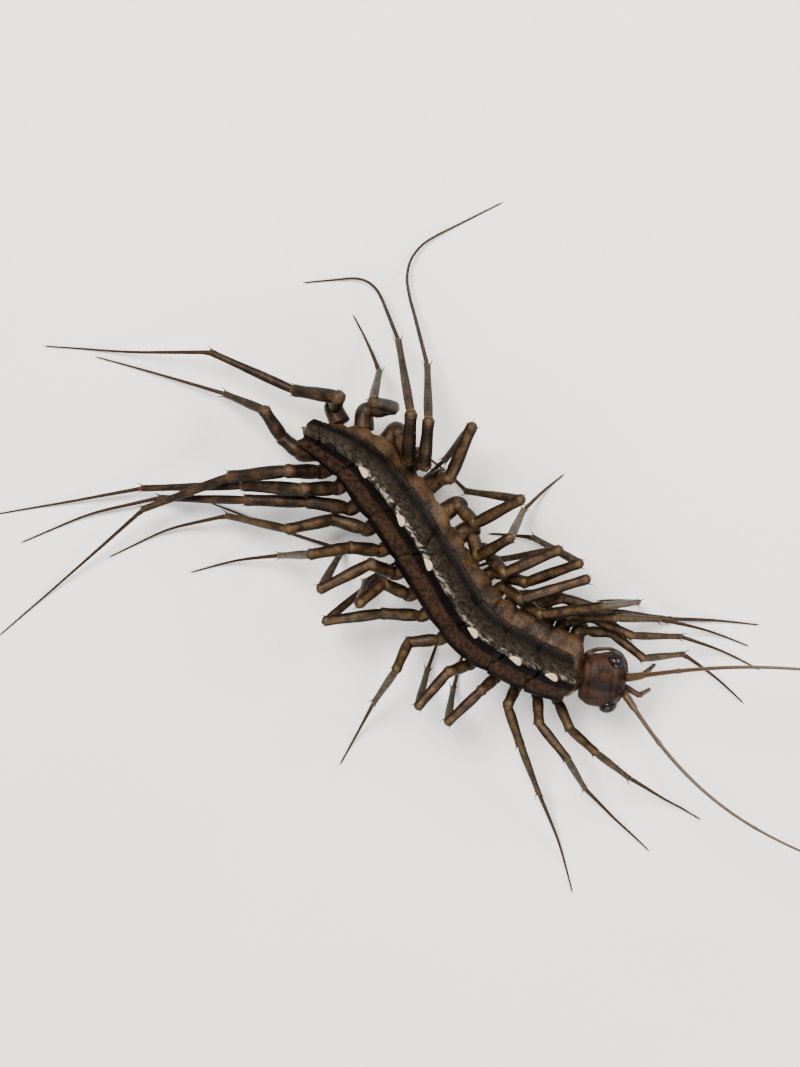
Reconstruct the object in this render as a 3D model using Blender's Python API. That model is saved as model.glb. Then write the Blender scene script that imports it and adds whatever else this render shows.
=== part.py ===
"""A house centipede, life size and still, standing on its feet.

Metres, +Z up, +X from the tail to the head and +Y to the animal's left. The floor is at Z = 0 and
the origin is on it, under the middle of the whole animal. The trunk is four lengths under eight
back plates, and each of the thirty legs is one solid from its coxa to the tip of its tarsus.
"""

import math

import bmesh
import bpy
from mathutils import Matrix, Vector

MM = 0.001
GAP = 0.3 * MM

# The middle of the back in plan, tail to head, before the origin is set.
MIDLINE_MM = (
    (-13.6, -0.2),
    (-11.6, 0.25),
    (-9.2, 0.5),
    (-7.0, 0.15),
    (-4.7, -0.35),
    (-0.5, -1.65),
    (4.0, -2.8),
    (8.0, -2.1),
    (11.5, -0.8),
    (14.4, 0.8),
)
ORIGIN_X = 3.58 * MM
ORIGIN_Y = -3.52 * MM

# The trunk: its axis above the floor, its half width and half height, and its roll at the head.
AXIS_Z = 4.3 * MM
TRUNK_HALF_WIDTH = 1.75 * MM
TRUNK_HALF_HEIGHT = 1.3 * MM
TAIL_X = -13.0 * MM
NECK_X = 11.4 * MM
HEAD_ROLL = math.radians(10)
ROLL_START_X = -2.0 * MM
TRUNK_CUTS_MM = (-13.0, -8.6, -1.1, 7.5, 11.4)
TRUNK_NAMES = ("trunk_tail", "trunk_rear", "trunk_middle", "trunk_front")
TRUNK_SIDES = 12
TRUNK_STEP = 1.3 * MM

# Where the trunk starts to narrow at each end, over what length, and by what share of its width.
TAIL_TAPER_X = -7 * MM
TAIL_TAPER_LENGTH = 6 * MM
TAIL_TAPER = 0.56
NECK_TAPER_X = 8 * MM
NECK_TAPER_LENGTH = 4 * MM
NECK_TAPER = 0.16

# The telson's rings: how far each lies behind the trunk in mm, and its size beside the trunk's.
TELSON_RINGS = ((0.0, 0.86), (0.35, 0.78), (0.7, 0.5), (0.85, 0.22))

# The animal leans on its right side, so its left flank bulges out below the plates, less so
# towards the head, where the body bends to the left.
FLANK_REACH = 0.7 * MM
FLANK_TAPER = 3.0 * MM
FLANK_BEND_X = -1.5 * MM
FLANK_BEND_LENGTH = 4.5 * MM
FLANK_BEND_LOSS = 0.62
FLANK_TOP = 0.65
FLANK_DEPTH = 0.8

# The back plates, front to rear: the joints between them along the back.
PLATE_JOINTS_MM = (11.35, 8.95, 6.4, 3.0, -2.4, -5.8, -9.85, -12.6, -13.5)
PLATE_THICKNESS = 0.42 * MM
PLATE_SWEEP = math.radians(50)
PLATE_COLUMNS = 10
PLATE_ROWS = 5
PLATE_BULGE = 0.45 * MM
PLATE_BULGE_WIDTH = 0.55
PLATE_CORNER = 0.35 * MM
PLATE_FLARE = 0.05
PLATE_REAR_LIFT = 0.16 * MM
STOMA_LENGTH = 0.95 * MM
STOMA_WIDTH = 0.42 * MM
STOMA_HEIGHT = 0.3 * MM

# Where each pair of legs leaves the trunk, first pair to last. The last left ones sit further on.
HIP_X_MM = (10.9, 9.7, 8.4, 6.95, 5.3, 3.35, 1.7, 0.1, -1.6, -3.4, -5.3, -7.2, -9.2, -10.9, -12.5)
LEFT_HIP_SHIFT = 0.4 * MM
HIP_DROP = 0.8 * MM
HIP_GAP = 0.13 * MM
LAST_HIP_GAP = 0.32 * MM
COXA_LENGTH = 0.9 * MM
COXA_SLOPE = 0.25
LAST_COXA_TURN = math.radians(55)
FIRST_TURNED_PAIR = 12.5

# The head and what it carries.
HEAD_LENGTH = 3.1 * MM
HEAD_WIDTH = 3.9 * MM
HEAD_HEIGHT = 2.6 * MM
HEAD_PITCH = math.radians(8)
HEAD_RINGS = (0.0, 0.12, 0.3, 0.5, 0.7, 0.86, 0.96)
HEAD_SIDES = 12
HEAD_WIDEST = 0.45
HEAD_HIGHEST = 0.42
HEAD_REACH = 0.57
HEAD_FULLNESS = 2.6
HEAD_UNDERSIDE = 0.82
EYE_RADIUS = 0.62 * MM
EYE_HEIGHT = 0.34 * MM
EYE_RINGS = ((0.0, 1.0), (0.35, 0.94), (0.7, 0.7), (1.0, 0.3))
EYE_SIDES = 10
ANTENNA_LENGTH = 26.0 * MM
ANTENNA_RADIUS = 0.27 * MM
ANTENNA_TIP_RADIUS = 0.1 * MM
ANTENNA_STEPS = 12
ANTENNA_SPLAY = 34
ANTENNA_TURN_IN = 26
ANTENNA_RISE = 38
ANTENNA_DROOP = 52
CLAW_RADIUS = 0.4 * MM
PALP_RADIUS = 0.27 * MM

# Joints on the head as shares of its length, width and height, measured from its middle.
CLAW_JOINTS = ((-0.3, 0.28, -0.62), (0.12, 0.42, -0.54), (0.42, 0.31, -0.52), (0.58, 0.08, -0.56))
PALP_JOINTS = ((0.59, 0.12, -0.14), (0.86, 0.2, -0.08), (1.15, 0.24, -0.75))
ANTENNA_ROOT = (0.57, 0.2, 0.24)
EYE_SEAT = (0.21, 0.465, 0.13)
EYE_FACING = (0.45, 0.85, 0.28)

TARSUS_STEPS = 7
TARSUS_TIP_RADIUS = 0.14 * MM
FOOT_SINK = 0.45
TOUCHDOWN = 0.8
SAG = 1.6
CURL_START = 0.3
CURL_SPAN = 0.4

# The dome at the end of a leg's rod: its height and its top's width beside the rod's radius.
DOME_HEIGHT = 0.45
DOME_TOP = 0.55

# Each leg's pose: its size beside the usual one, then the sweep and lift in degrees of its
# prefemur, femur and tibia, then the sweep and curl of its tarsus and how much of the usual
# length it has. A sweep is 0 straight out to the side and grows towards the head.
RIGHT_POSE = {
    1: (0.95, 65, 10, 98, 41, 84, -39, 92, 8.0, 0.85),
    2: (0.95, 47, 39, 81, 10, 62, -46, 81, 6.0, 0.85),
    3: (0.93, 14, 63, 57, -14, 57, -28, 60, -5.0, 0.97),
    4: (0.90, -15, 62, -5, 2, -138, -72, -154, 0.0, 0.44),
    5: (0.87, -39, 52, 0, 13, -146, -69, -158, 0.0, 0.38),
    6: (0.82, -43, 2, 20, 59, 7, -43, 12, 0.0, 0.59),
    7: (1.02, -55, 20, -43, 13, 168, -48, 145, 0.0, 0.35),
    8: (0.87, -82, 39, -12, 63, -119, -82, -201, 0.0, 0.41),
    9: (0.93, -83, 50, -23, 15, -161, -71, -66, -4.0, 0.89),
    10: (0.80, -60, 31, -45, 46, -34, -58, -39, 6.0, 0.58),
    11: (0.80, -65, -3, -40, 35, -55, -33, -35, 12.0, 0.76),
    12: (0.99, -62, 26, -49, -9, -47, -24, -36, 10.0, 0.83),
    13: (1.06, -55, 53, -49, -27, -45, -19, -38, -1.0, 0.81),
    14: (0.90, -57, 47, -42, -15, -28, -14, -9, 0.0, 1.05),
    15: (0.52, -87, -10, -111, 26, -65, -39, -64, 0.0, 0.66),
}
LEFT_POSE = {
    1: (0.95, 50, 12, 84, 23, 55, -51, 89, 4.0, 0.80),
    2: (0.95, 30, 33, 72, 6, 59, -43, 73, 4.0, 0.80),
    3: (0.95, 37, 49, 49, 15, 63, -52, 67, 4.0, 0.80),
    4: (1.00, 27, 29, 68, -15, 64, -41, 51, 4.0, 0.74),
    5: (1.27, 69, 51, 37, 23, 67, -70, -134, 0.0, 0.30),
    6: (1.25, 60, 64, 31, 4, -162, -61, -134, 0.0, 0.30),
    7: (1.11, 58, 39, 26, 21, -116, -58, -129, 0.0, 0.30),
    8: (1.04, 85, 47, 24, 12, -149, -48, -152, 0.0, 0.30),
    9: (0.84, 119, 43, 15, 35, -17, -77, 6, 4.0, 0.31),
    10: (1.02, 80, 55, 18, 31, -133, -54, -95, 0.0, 0.30),
    11: (0.92, 31, 68, -17, 15, 179, -56, -172, 0.0, 0.30),
    12: (0.83, 89, 76, -32, 31, -51, -57, -57, 80.0, 1.14),
    13: (0.97, 108, 49, -32, 40, -59, -51, -66, -70.0, 0.68),
    14: (0.66, 38, 19, -102, 67, -46, -71, -69, 0.0, 0.30),
    15: (0.80, -4, 64, -126, -32, -108, -10, -132, 5, 0.84),
}


def prefemur_length(pair):
    return (2.3 + 0.08 * pair) * MM


def femur_length(pair):
    return (3.0 + 0.13 * pair) * MM


def tibia_length(pair):
    return (4.2 + 0.28 * pair) * MM


def tarsus_length(pair):
    return (6.5 + 0.55 * pair) * MM


def coxa_radius(pair, side):
    """The left coxae are stouter, save where the bend crowds them."""
    stout = 0.1 * smooth((pair - 7) / 2) if side > 0 else 0.0
    return (0.40 + 0.008 * pair + stout) * MM


def prefemur_radius(pair):
    return (0.30 + 0.009 * pair) * MM


def femur_radius(pair):
    return (0.28 + 0.009 * pair) * MM


def tibia_radius(pair):
    return (0.26 + 0.004 * pair) * MM


def smooth(t):
    t = min(max(t, 0.0), 1.0)
    return t * t * (3 - 2 * t)


def middle_y(x):
    """The back's middle line at x, a smooth curve through the waypoints."""
    points = [(px * MM, py * MM) for px, py in MIDLINE_MM]
    first = 0
    while first < len(points) - 2 and x > points[first + 1][0]:
        first += 1
    (x1, y1), (x2, y2) = points[first], points[first + 1]
    x0, y0 = points[first - 1] if first else (2 * x1 - x2, 2 * y1 - y2)
    x3, y3 = points[first + 2] if first + 2 < len(points) else (2 * x2 - x1, 2 * y2 - y1)
    slope1 = (y2 - y0) / (x2 - x0)
    slope2 = (y3 - y1) / (x3 - x1)
    span = x2 - x1
    t = (x - x1) / span
    start = (2 * t**3 - 3 * t**2 + 1) * y1 + (t**3 - 2 * t**2 + t) * span * slope1
    end = (3 * t**2 - 2 * t**3) * y2 + (t**3 - t**2) * span * slope2
    return start + end


def heading(x):
    reach = 0.2 * MM
    return math.atan2(middle_y(x + reach) - middle_y(x - reach), 2 * reach)


def roll(x):
    return HEAD_ROLL * smooth((x - ROLL_START_X) / (NECK_X - ROLL_START_X))


def body_frame(x):
    """The trunk's cross-section at x: origin on its axis, X forward, Y to the left, Z up."""
    place = Matrix.Translation((x - ORIGIN_X, middle_y(x) - ORIGIN_Y, AXIS_Z))
    return place @ Matrix.Rotation(heading(x), 4, "Z") @ Matrix.Rotation(roll(x), 4, "X")


def girth(x):
    """How wide the trunk is at x beside its widest, narrower at both ends."""
    tail = TAIL_TAPER * max(0.0, (TAIL_TAPER_X - x) / TAIL_TAPER_LENGTH) ** 1.2
    front = NECK_TAPER * max(0.0, (x - NECK_TAPER_X) / NECK_TAPER_LENGTH) ** 1.5
    return 1 - tail - front


def flank(x):
    """How far the left flank reaches past the oval of the trunk."""
    behind = smooth((x - TAIL_X) / FLANK_TAPER)
    bend = 1 - FLANK_BEND_LOSS * smooth((x - FLANK_BEND_X) / FLANK_BEND_LENGTH)
    before = smooth((NECK_X + 0.5 * FLANK_TAPER - x) / FLANK_TAPER)
    return FLANK_REACH * behind * bend * before


def principled(name, color, roughness):
    material = bpy.data.materials.new(name)
    material.use_nodes = True
    shader = material.node_tree.nodes["Principled BSDF"]
    shader.inputs["Base Color"].default_value = (*color, 1)
    shader.inputs["Roughness"].default_value = roughness
    return material


def clear_scene():
    for obj in list(bpy.data.objects):
        bpy.data.objects.remove(obj)


def make_collection(name):
    collection = bpy.data.collections.new(name)
    bpy.context.scene.collection.children.link(collection)
    return collection


def add_object(name, mesh, collection, material=None):
    obj = bpy.data.objects.new(name, mesh)
    collection.objects.link(obj)
    if material:
        mesh.materials.append(material)
    return obj


def mesh_from(name, bm):
    """A mesh with its normals outwards, and the working copy freed."""
    bmesh.ops.recalc_face_normals(bm, faces=bm.faces)
    mesh = bpy.data.meshes.new(name)
    bm.to_mesh(mesh)
    bm.free()
    mesh.shade_smooth()
    mesh.set_sharp_from_angle(angle=math.radians(40))
    return mesh


def loft(name, rings):
    """A closed solid through rings of equal, even count. Strips across its end rings close it."""
    bm = bmesh.new()
    loops = [[bm.verts.new(point) for point in ring] for ring in rings]
    count = len(rings[0])
    for ring, following in zip(loops, loops[1:]):
        for i in range(count):
            j = (i + 1) % count
            bm.faces.new((ring[i], ring[j], following[j], following[i]))
    for ring in (loops[0], loops[-1]):
        for i in range(count // 2 - 1):
            bm.faces.new((ring[i], ring[i + 1], ring[-2 - i], ring[-1 - i]))
    return mesh_from(name, bm)


def trunk_ring(x, scale):
    """An oval ring with the bulge of the left flank below the plates."""
    frame = body_frame(x)
    ring = []
    for i in range(TRUNK_SIDES):
        angle = 2 * math.pi * (i + 0.5) / TRUNK_SIDES
        left = math.cos(angle)
        up = math.sin(angle)
        bulge = flank(x) * math.sqrt(max(0.0, left)) * smooth((FLANK_TOP - up) / FLANK_DEPTH)
        width = TRUNK_HALF_WIDTH * girth(x) * left + bulge
        ring.append(frame @ Vector((0, width * scale, TRUNK_HALF_HEIGHT * up * scale)))
    return ring


def make_trunk(collection, material):
    for name, start, end in zip(TRUNK_NAMES, TRUNK_CUTS_MM, TRUNK_CUTS_MM[1:]):
        low = start * MM + GAP / 2
        high = end * MM - GAP / 2
        count = round((high - low) / TRUNK_STEP) + 1
        rings = []
        for i in range(count):
            rings.append(trunk_ring(low + (high - low) * i / (count - 1), 1.0))
        add_object(name, loft(name, rings), collection, material)


def make_telson(collection, material):
    """The rounded end of the body, behind the last length of the trunk."""
    rings = []
    for back, scale in TELSON_RINGS:
        rings.append(trunk_ring(TAIL_X - GAP / 2 - back * MM, scale))
    add_object("telson", loft("telson", rings), collection, material)


def plate_joint(x, across):
    """A joint between plates bulges forwards in the middle of the back."""
    return x + PLATE_BULGE * max(0.0, 1 - (across / PLATE_BULGE_WIDTH) ** 2)


def plate_point(x, across, outer, lift):
    """A point of a plate, across from -1 at its right edge to 1 at its left edge."""
    rise = TRUNK_HALF_HEIGHT + GAP + lift + (PLATE_THICKNESS if outer else 0.0)
    width = TRUNK_HALF_WIDTH * girth(x) + GAP + (PLATE_THICKNESS if outer else 0.0)
    angle = PLATE_SWEEP * across
    flat = 1 + PLATE_FLARE * math.sin(2 * angle) ** 2
    return body_frame(x) @ Vector((0, width * math.sin(angle) * flat, rise * math.cos(angle) * flat))


def plate_ring(front, rear, along):
    """One closed section of a plate, from right to left over it and back under it."""
    columns = [2 * i / PLATE_COLUMNS - 1 for i in range(PLATE_COLUMNS + 1)]
    lift = PLATE_REAR_LIFT * along**2
    ring = []
    for outer, order in ((True, columns), (False, columns[::-1])):
        for across in order:
            rounding = PLATE_CORNER * abs(across) ** 6
            start = plate_joint(front, across) - GAP / 2 - rounding
            end = plate_joint(rear, across) + GAP / 2 + rounding
            ring.append(plate_point(start + (end - start) * along, across, outer, lift))
    return ring


def fuse(base, collection_name, pieces):
    """Joins the pieces to the base in one union and keeps the largest closed surface."""
    helpers = make_collection(collection_name)
    for piece in pieces:
        helpers.objects.link(piece)
    union = base.modifiers.new("Join", "BOOLEAN")
    union.operation = "UNION"
    union.operand_type = "COLLECTION"
    union.collection = helpers
    graph = bpy.context.evaluated_depsgraph_get()
    joined = bpy.data.meshes.new_from_object(base.evaluated_get(graph))
    base.modifiers.clear()
    base.data = joined
    for piece in pieces:
        bpy.data.objects.remove(piece)
    bpy.data.collections.remove(helpers)
    keep_largest(joined)


def keep_largest(mesh):
    bm = bmesh.new()
    bm.from_mesh(mesh)
    bmesh.ops.triangulate(bm, faces=bm.faces)
    unseen = set(bm.faces)
    shells = []
    while unseen:
        shell = set()
        queue = [next(iter(unseen))]
        while queue:
            face = queue.pop()
            if face in shell:
                continue
            shell.add(face)
            for edge in face.edges:
                queue.extend(other for other in edge.link_faces if other not in shell)
        unseen -= shell
        shells.append(shell)
    shells.sort(key=lambda shell: sum(face.calc_area() for face in shell))
    for shell in shells[:-1]:
        bmesh.ops.delete(bm, geom=list(shell), context="FACES")
    bm.to_mesh(mesh)
    bm.free()
    mesh.shade_smooth()
    mesh.set_sharp_from_angle(angle=math.radians(40))


def make_stoma(front, rear):
    """The raised breathing slit in the rear notch of a plate."""
    x = plate_joint(rear, 0.0) + GAP / 2 + 0.5 * STOMA_LENGTH
    bm = bmesh.new()
    bmesh.ops.create_icosphere(bm, subdivisions=1, radius=1.0)
    rise = TRUNK_HALF_HEIGHT + GAP + PLATE_THICKNESS
    size = Matrix.Diagonal((0.5 * STOMA_LENGTH, STOMA_WIDTH, STOMA_HEIGHT, 1))
    bm.transform(body_frame(x) @ Matrix.Translation((0, 0, rise)) @ size)
    return bpy.data.objects.new("stoma", mesh_from("stoma", bm))


def make_plates(collection, material):
    for number in range(1, 9):
        front = PLATE_JOINTS_MM[number - 1] * MM
        rear = PLATE_JOINTS_MM[number] * MM
        rings = [plate_ring(front, rear, i / (PLATE_ROWS - 1)) for i in range(PLATE_ROWS)]
        name = f"tergite_{number}"
        plate = add_object(name, loft(name, rings), collection, material)
        if number < 8:
            fuse(plate, f"pieces of {name}", [make_stoma(front, rear)])


def rod(name, start, end, radius_start, radius_end, sides=6):
    """A tapering rod between two joints, with a dome past its far end."""
    axis = (end - start).normalized()
    turn = axis.to_track_quat("Z", "Y")
    dome = DOME_HEIGHT * radius_end
    rings = []
    for spot, radius in (
        (start, radius_start),
        (end - axis * dome, radius_end),
        (end + axis * dome, DOME_TOP * radius_end),
    ):
        ring = []
        for i in range(sides):
            angle = 2 * math.pi * i / sides
            ring.append(spot + turn @ Vector((math.cos(angle), math.sin(angle), 0)) * radius)
        rings.append(ring)
    return bpy.data.objects.new(name, loft(name, rings))


def whip(name, points, radii, sides_level=1, floor=None):
    """A tapering tube along the points, pressed flat where it lies on the floor."""
    curve = bpy.data.curves.new(name, "CURVE")
    curve.dimensions = "3D"
    curve.bevel_depth = 1.0
    curve.bevel_resolution = sides_level
    curve.use_fill_caps = True
    spline = curve.splines.new("POLY")
    spline.points.add(len(points) - 1)
    for spot, point, radius in zip(spline.points, points, radii):
        spot.co = (*point, 1)
        spot.radius = radius
    guide = bpy.data.objects.new(name, curve)
    bpy.context.scene.collection.objects.link(guide)
    graph = bpy.context.evaluated_depsgraph_get()
    mesh = bpy.data.meshes.new_from_object(guide.evaluated_get(graph))
    bpy.data.objects.remove(guide)
    bm = bmesh.new()
    bm.from_mesh(mesh)
    bmesh.ops.remove_doubles(bm, verts=bm.verts, dist=0.002 * MM)
    if floor is not None:
        for vert in bm.verts:
            vert.co.z = max(vert.co.z, floor)
    return bpy.data.objects.new(name, mesh_from(name, bm))


def direction(side, sweep, lift):
    """A unit vector out from the body's side, swept towards the head and lifted."""
    plan = math.radians(90 - sweep) * side
    rise = math.radians(lift)
    return Vector((math.cos(rise) * math.cos(plan), math.cos(rise) * math.sin(plan), math.sin(rise)))


def coxa_points(pair, side):
    """Where a coxa meets the trunk and where it ends. The rearmost ones turn back."""
    x = HIP_X_MM[pair - 1] * MM
    if side > 0:
        x += LEFT_HIP_SHIFT * smooth((pair - 11) / 4)
    frame = body_frame(x)
    back = max(0.0, (pair - FIRST_TURNED_PAIR) / (15 - FIRST_TURNED_PAIR)) ** 1.3
    turn = LAST_COXA_TURN * back
    reach = TRUNK_HALF_WIDTH * girth(x) + HIP_GAP + LAST_HIP_GAP * back
    if side > 0:
        reach += flank(x)
    root = frame @ Vector((0, side * reach, -HIP_DROP))
    out = Vector((-math.sin(turn), side * math.cos(turn), -COXA_SLOPE)).normalized()
    return root, root + frame.to_3x3() @ out * COXA_LENGTH


def leg_joints(pair, side):
    """The joints of a leg from its root to its ankle."""
    pose = (LEFT_POSE if side > 0 else RIGHT_POSE)[pair]
    size = pose[0]
    root, coxa_end = coxa_points(pair, side)
    prefemur_end = coxa_end + direction(side, pose[1], pose[2]) * prefemur_length(pair) * size
    knee = prefemur_end + direction(side, pose[3], pose[4]) * femur_length(pair) * size
    ankle = knee + direction(side, pose[5], pose[6]) * tibia_length(pair) * size
    return root, coxa_end, prefemur_end, knee, ankle


def tarsus_radius(pair, t):
    return tibia_radius(pair) + (TARSUS_TIP_RADIUS - tibia_radius(pair)) * t


def tarsus_path(pair, side, ankle, steps):
    """The whip-like tarsus, which sinks from the ankle and lies along the floor."""
    pose = (LEFT_POSE if side > 0 else RIGHT_POSE)[pair]
    sweep, curl, part = pose[7:]
    stride = tarsus_length(pair) * part / steps
    points = [ankle]
    for i in range(steps):
        bend = curl * smooth(((i + 0.5) / steps - CURL_START) / CURL_SPAN)
        spot = points[-1] + direction(side, sweep + bend, 0) * stride
        t = (i + 1) / steps
        floor = FOOT_SINK * tarsus_radius(pair, t)
        spot.z = floor + (ankle.z - floor) * max(0.0, 1 - t / TOUCHDOWN) ** SAG
        points.append(spot)
    return points


def make_leg(name, pair, side, collection, material):
    root, coxa_end, prefemur_end, knee, ankle = leg_joints(pair, side)
    coxa = coxa_radius(pair, side)
    prefemur = prefemur_radius(pair)
    femur = femur_radius(pair)
    tibia = tibia_radius(pair)
    path = tarsus_path(pair, side, ankle, TARSUS_STEPS)
    path[0] = ankle + (knee - ankle).normalized() * 0.25 * MM
    radii = [tarsus_radius(pair, i / TARSUS_STEPS) for i in range(TARSUS_STEPS + 1)]
    base = rod(name, root, coxa_end, coxa, 0.87 * coxa, 8)
    pieces = [
        rod("prefemur", coxa_end, prefemur_end, 0.88 * prefemur, 1.08 * prefemur),
        rod("femur", prefemur_end, knee, 0.9 * femur, 1.04 * femur),
        rod("tibia", knee, ankle, tibia, 1.04 * tarsus_radius(pair, 0)),
        whip("tarsus", path, radii, floor=0.0),
    ]
    collection.objects.link(base)
    fuse(base, f"pieces of {name}", pieces)
    base.data.materials.clear()
    base.data.materials.append(material)


def make_legs(collection, material):
    for pair in range(1, 16):
        make_leg(f"leg_left_{pair}", pair, 1, collection, material)
        make_leg(f"leg_right_{pair}", pair, -1, collection, material)


def head_frame():
    """The head's own frame, with its origin at the middle of the head."""
    x = NECK_X + GAP + 0.5 * HEAD_LENGTH
    return body_frame(x) @ Matrix.Rotation(HEAD_PITCH, 4, "Y")


def head_spot(side, shares):
    along, across, up = shares
    return head_frame() @ Vector((along * HEAD_LENGTH, side * across * HEAD_WIDTH, up * HEAD_HEIGHT))


def head_profile(away):
    """How full the head is at a share of its length away from its fullest section."""
    return max(0.0, 1 - abs(away / HEAD_REACH) ** HEAD_FULLNESS) ** (1 / HEAD_FULLNESS)


def head_ring(along):
    """A section of the head, from 0 at the neck to 1 at the face."""
    width = 0.5 * HEAD_WIDTH * head_profile(along - HEAD_WIDEST)
    height = 0.5 * HEAD_HEIGHT * head_profile(along - HEAD_HIGHEST)
    ring = []
    for i in range(HEAD_SIDES):
        angle = 2 * math.pi * (i + 0.5) / HEAD_SIDES
        flat = HEAD_UNDERSIDE if math.sin(angle) < 0 else 1.0
        x = HEAD_LENGTH * (along - 0.5)
        ring.append(head_frame() @ Vector((x, width * math.cos(angle), flat * height * math.sin(angle))))
    return ring


def make_head(collection, material):
    rings = [head_ring(along) for along in HEAD_RINGS]
    add_object("head", loft("head", rings), collection, material)


def make_eye(name, side, collection, material):
    """A bulging cluster eye on the front corner of the head."""
    forward, outward, up = EYE_FACING
    out = head_frame().to_3x3() @ Vector((forward, side * outward, up)).normalized()
    turn = out.to_track_quat("Z", "Y").to_matrix().to_4x4()
    frame = Matrix.Translation(head_spot(side, EYE_SEAT) + out * 0.8 * GAP) @ turn
    rings = []
    for height, scale in EYE_RINGS:
        ring = []
        for i in range(EYE_SIDES):
            angle = 2 * math.pi * i / EYE_SIDES
            spot = Vector((math.cos(angle), math.sin(angle), 0)) * EYE_RADIUS * scale
            spot.z = height * EYE_HEIGHT
            ring.append(frame @ spot)
        rings.append(ring)
    add_object(name, loft(name, rings), collection, material)


def antenna_path(side, steps):
    """The feeler rises from the face, reaches forwards and droops towards its tip."""
    points = [head_spot(side, ANTENNA_ROOT)]
    for i in range(steps):
        t = (i + 0.5) / steps
        spread = ANTENNA_SPLAY - ANTENNA_TURN_IN * smooth(t / 0.7)
        yaw = math.degrees(heading(NECK_X)) + side * spread
        lift = ANTENNA_RISE - ANTENNA_DROOP * smooth(t / 0.8)
        way = direction(1, 90 - yaw, lift)
        points.append(points[-1] + way * ANTENNA_LENGTH / steps)
    return points


def make_antenna(name, side, collection, material):
    points = antenna_path(side, ANTENNA_STEPS)
    radii = []
    for i in range(ANTENNA_STEPS + 1):
        taper = (i / ANTENNA_STEPS) ** 0.8
        radii.append(ANTENNA_RADIUS + (ANTENNA_TIP_RADIUS - ANTENNA_RADIUS) * taper)
    antenna = whip(name, points, radii)
    collection.objects.link(antenna)
    antenna.data.materials.append(material)


def make_claw(name, side, collection, material):
    """A venom claw: a stout arm under the cheek and a hook that curves in before the mouth."""
    points = [head_spot(side, joint) for joint in CLAW_JOINTS]
    base = rod(name, points[0], points[1], 0.8 * CLAW_RADIUS, CLAW_RADIUS, 8)
    pieces = [
        rod("claw arm", points[1], points[2], 0.85 * CLAW_RADIUS, 0.75 * CLAW_RADIUS),
        rod("claw hook", points[2], points[3], 0.65 * CLAW_RADIUS, 0.2 * CLAW_RADIUS),
    ]
    collection.objects.link(base)
    fuse(base, f"pieces of {name}", pieces)
    base.data.materials.clear()
    base.data.materials.append(material)


def make_palp(name, side, collection, material):
    """The leg-like palp beside the mouth, in front of the claw."""
    points = [head_spot(side, joint) for joint in PALP_JOINTS]
    base = rod(name, points[0], points[1], 0.8 * PALP_RADIUS, PALP_RADIUS)
    pieces = [rod("palp end", points[1], points[2], 0.88 * PALP_RADIUS, 0.5 * PALP_RADIUS)]
    collection.objects.link(base)
    fuse(base, f"pieces of {name}", pieces)
    base.data.materials.clear()
    base.data.materials.append(material)


def main():
    clear_scene()
    body = make_collection("house centipede")
    flesh = principled("brown flank", (0.12, 0.075, 0.045), 0.5)
    plates = principled("dark back plate", (0.06, 0.035, 0.02), 0.35)
    limbs = principled("olive brown leg", (0.19, 0.12, 0.05), 0.4)
    capsule = principled("red brown head", (0.12, 0.045, 0.02), 0.3)
    eyes = principled("black eye", (0.01, 0.008, 0.007), 0.2)
    make_trunk(body, flesh)
    make_telson(body, flesh)
    make_plates(body, plates)
    make_head(body, capsule)
    make_legs(body, limbs)
    for word, side in (("left", 1), ("right", -1)):
        make_eye(f"eye_{word}", side, body, eyes)
        make_antenna(f"antenna_{word}", side, body, limbs)
        make_claw(f"forcipule_{word}", side, body, capsule)
        make_palp(f"palp_{word}", side, body, limbs)


main()
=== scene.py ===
"""The looks of a house centipede: striped back plates, banded legs and a pale floor under it.

Metres, +Z up, +X from the tail to the head and +Y to the animal's left, as in its solids. The
forms follow the same named sizes as the solids, so each piece lies on the solid that it replaces.
"""

from math import atan2, cos, degrees, exp, pi, radians, sin, sqrt
from random import seed, uniform

import bmesh
import bpy
from mathutils import Matrix, Vector, noise

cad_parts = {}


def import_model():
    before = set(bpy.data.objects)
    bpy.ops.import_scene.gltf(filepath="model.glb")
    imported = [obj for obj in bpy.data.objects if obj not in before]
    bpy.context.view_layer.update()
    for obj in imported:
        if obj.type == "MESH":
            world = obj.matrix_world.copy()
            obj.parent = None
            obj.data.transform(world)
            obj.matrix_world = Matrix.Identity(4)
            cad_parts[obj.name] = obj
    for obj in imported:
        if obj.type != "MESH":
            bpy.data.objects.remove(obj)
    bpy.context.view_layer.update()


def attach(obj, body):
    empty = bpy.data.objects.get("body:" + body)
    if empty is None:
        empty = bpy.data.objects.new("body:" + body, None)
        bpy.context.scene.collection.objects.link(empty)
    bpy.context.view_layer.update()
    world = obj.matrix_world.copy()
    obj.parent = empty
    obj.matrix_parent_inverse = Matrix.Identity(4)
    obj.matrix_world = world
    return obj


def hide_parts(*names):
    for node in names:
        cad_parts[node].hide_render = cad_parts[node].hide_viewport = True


MM = 0.001
GAP = 0.3 * MM

# The middle of the back in plan, tail to head, before the origin is set.
MIDLINE_MM = (
    (-13.6, -0.2),
    (-11.6, 0.25),
    (-9.2, 0.5),
    (-7.0, 0.15),
    (-4.7, -0.35),
    (-0.5, -1.65),
    (4.0, -2.8),
    (8.0, -2.1),
    (11.5, -0.8),
    (14.4, 0.8),
)
ORIGIN_X = 3.58 * MM
ORIGIN_Y = -3.52 * MM

# The trunk: its axis above the floor, its half width and half height, and its roll at the head.
AXIS_Z = 4.3 * MM
TRUNK_HALF_WIDTH = 1.75 * MM
TRUNK_HALF_HEIGHT = 1.3 * MM
TAIL_X = -13.0 * MM
NECK_X = 11.4 * MM
HEAD_ROLL = radians(10)
ROLL_START_X = -2.0 * MM
TRUNK_SIDES = 48

TELSON_LENGTH = 1.0 * MM
TELSON_ROUNDING = 0.15

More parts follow.
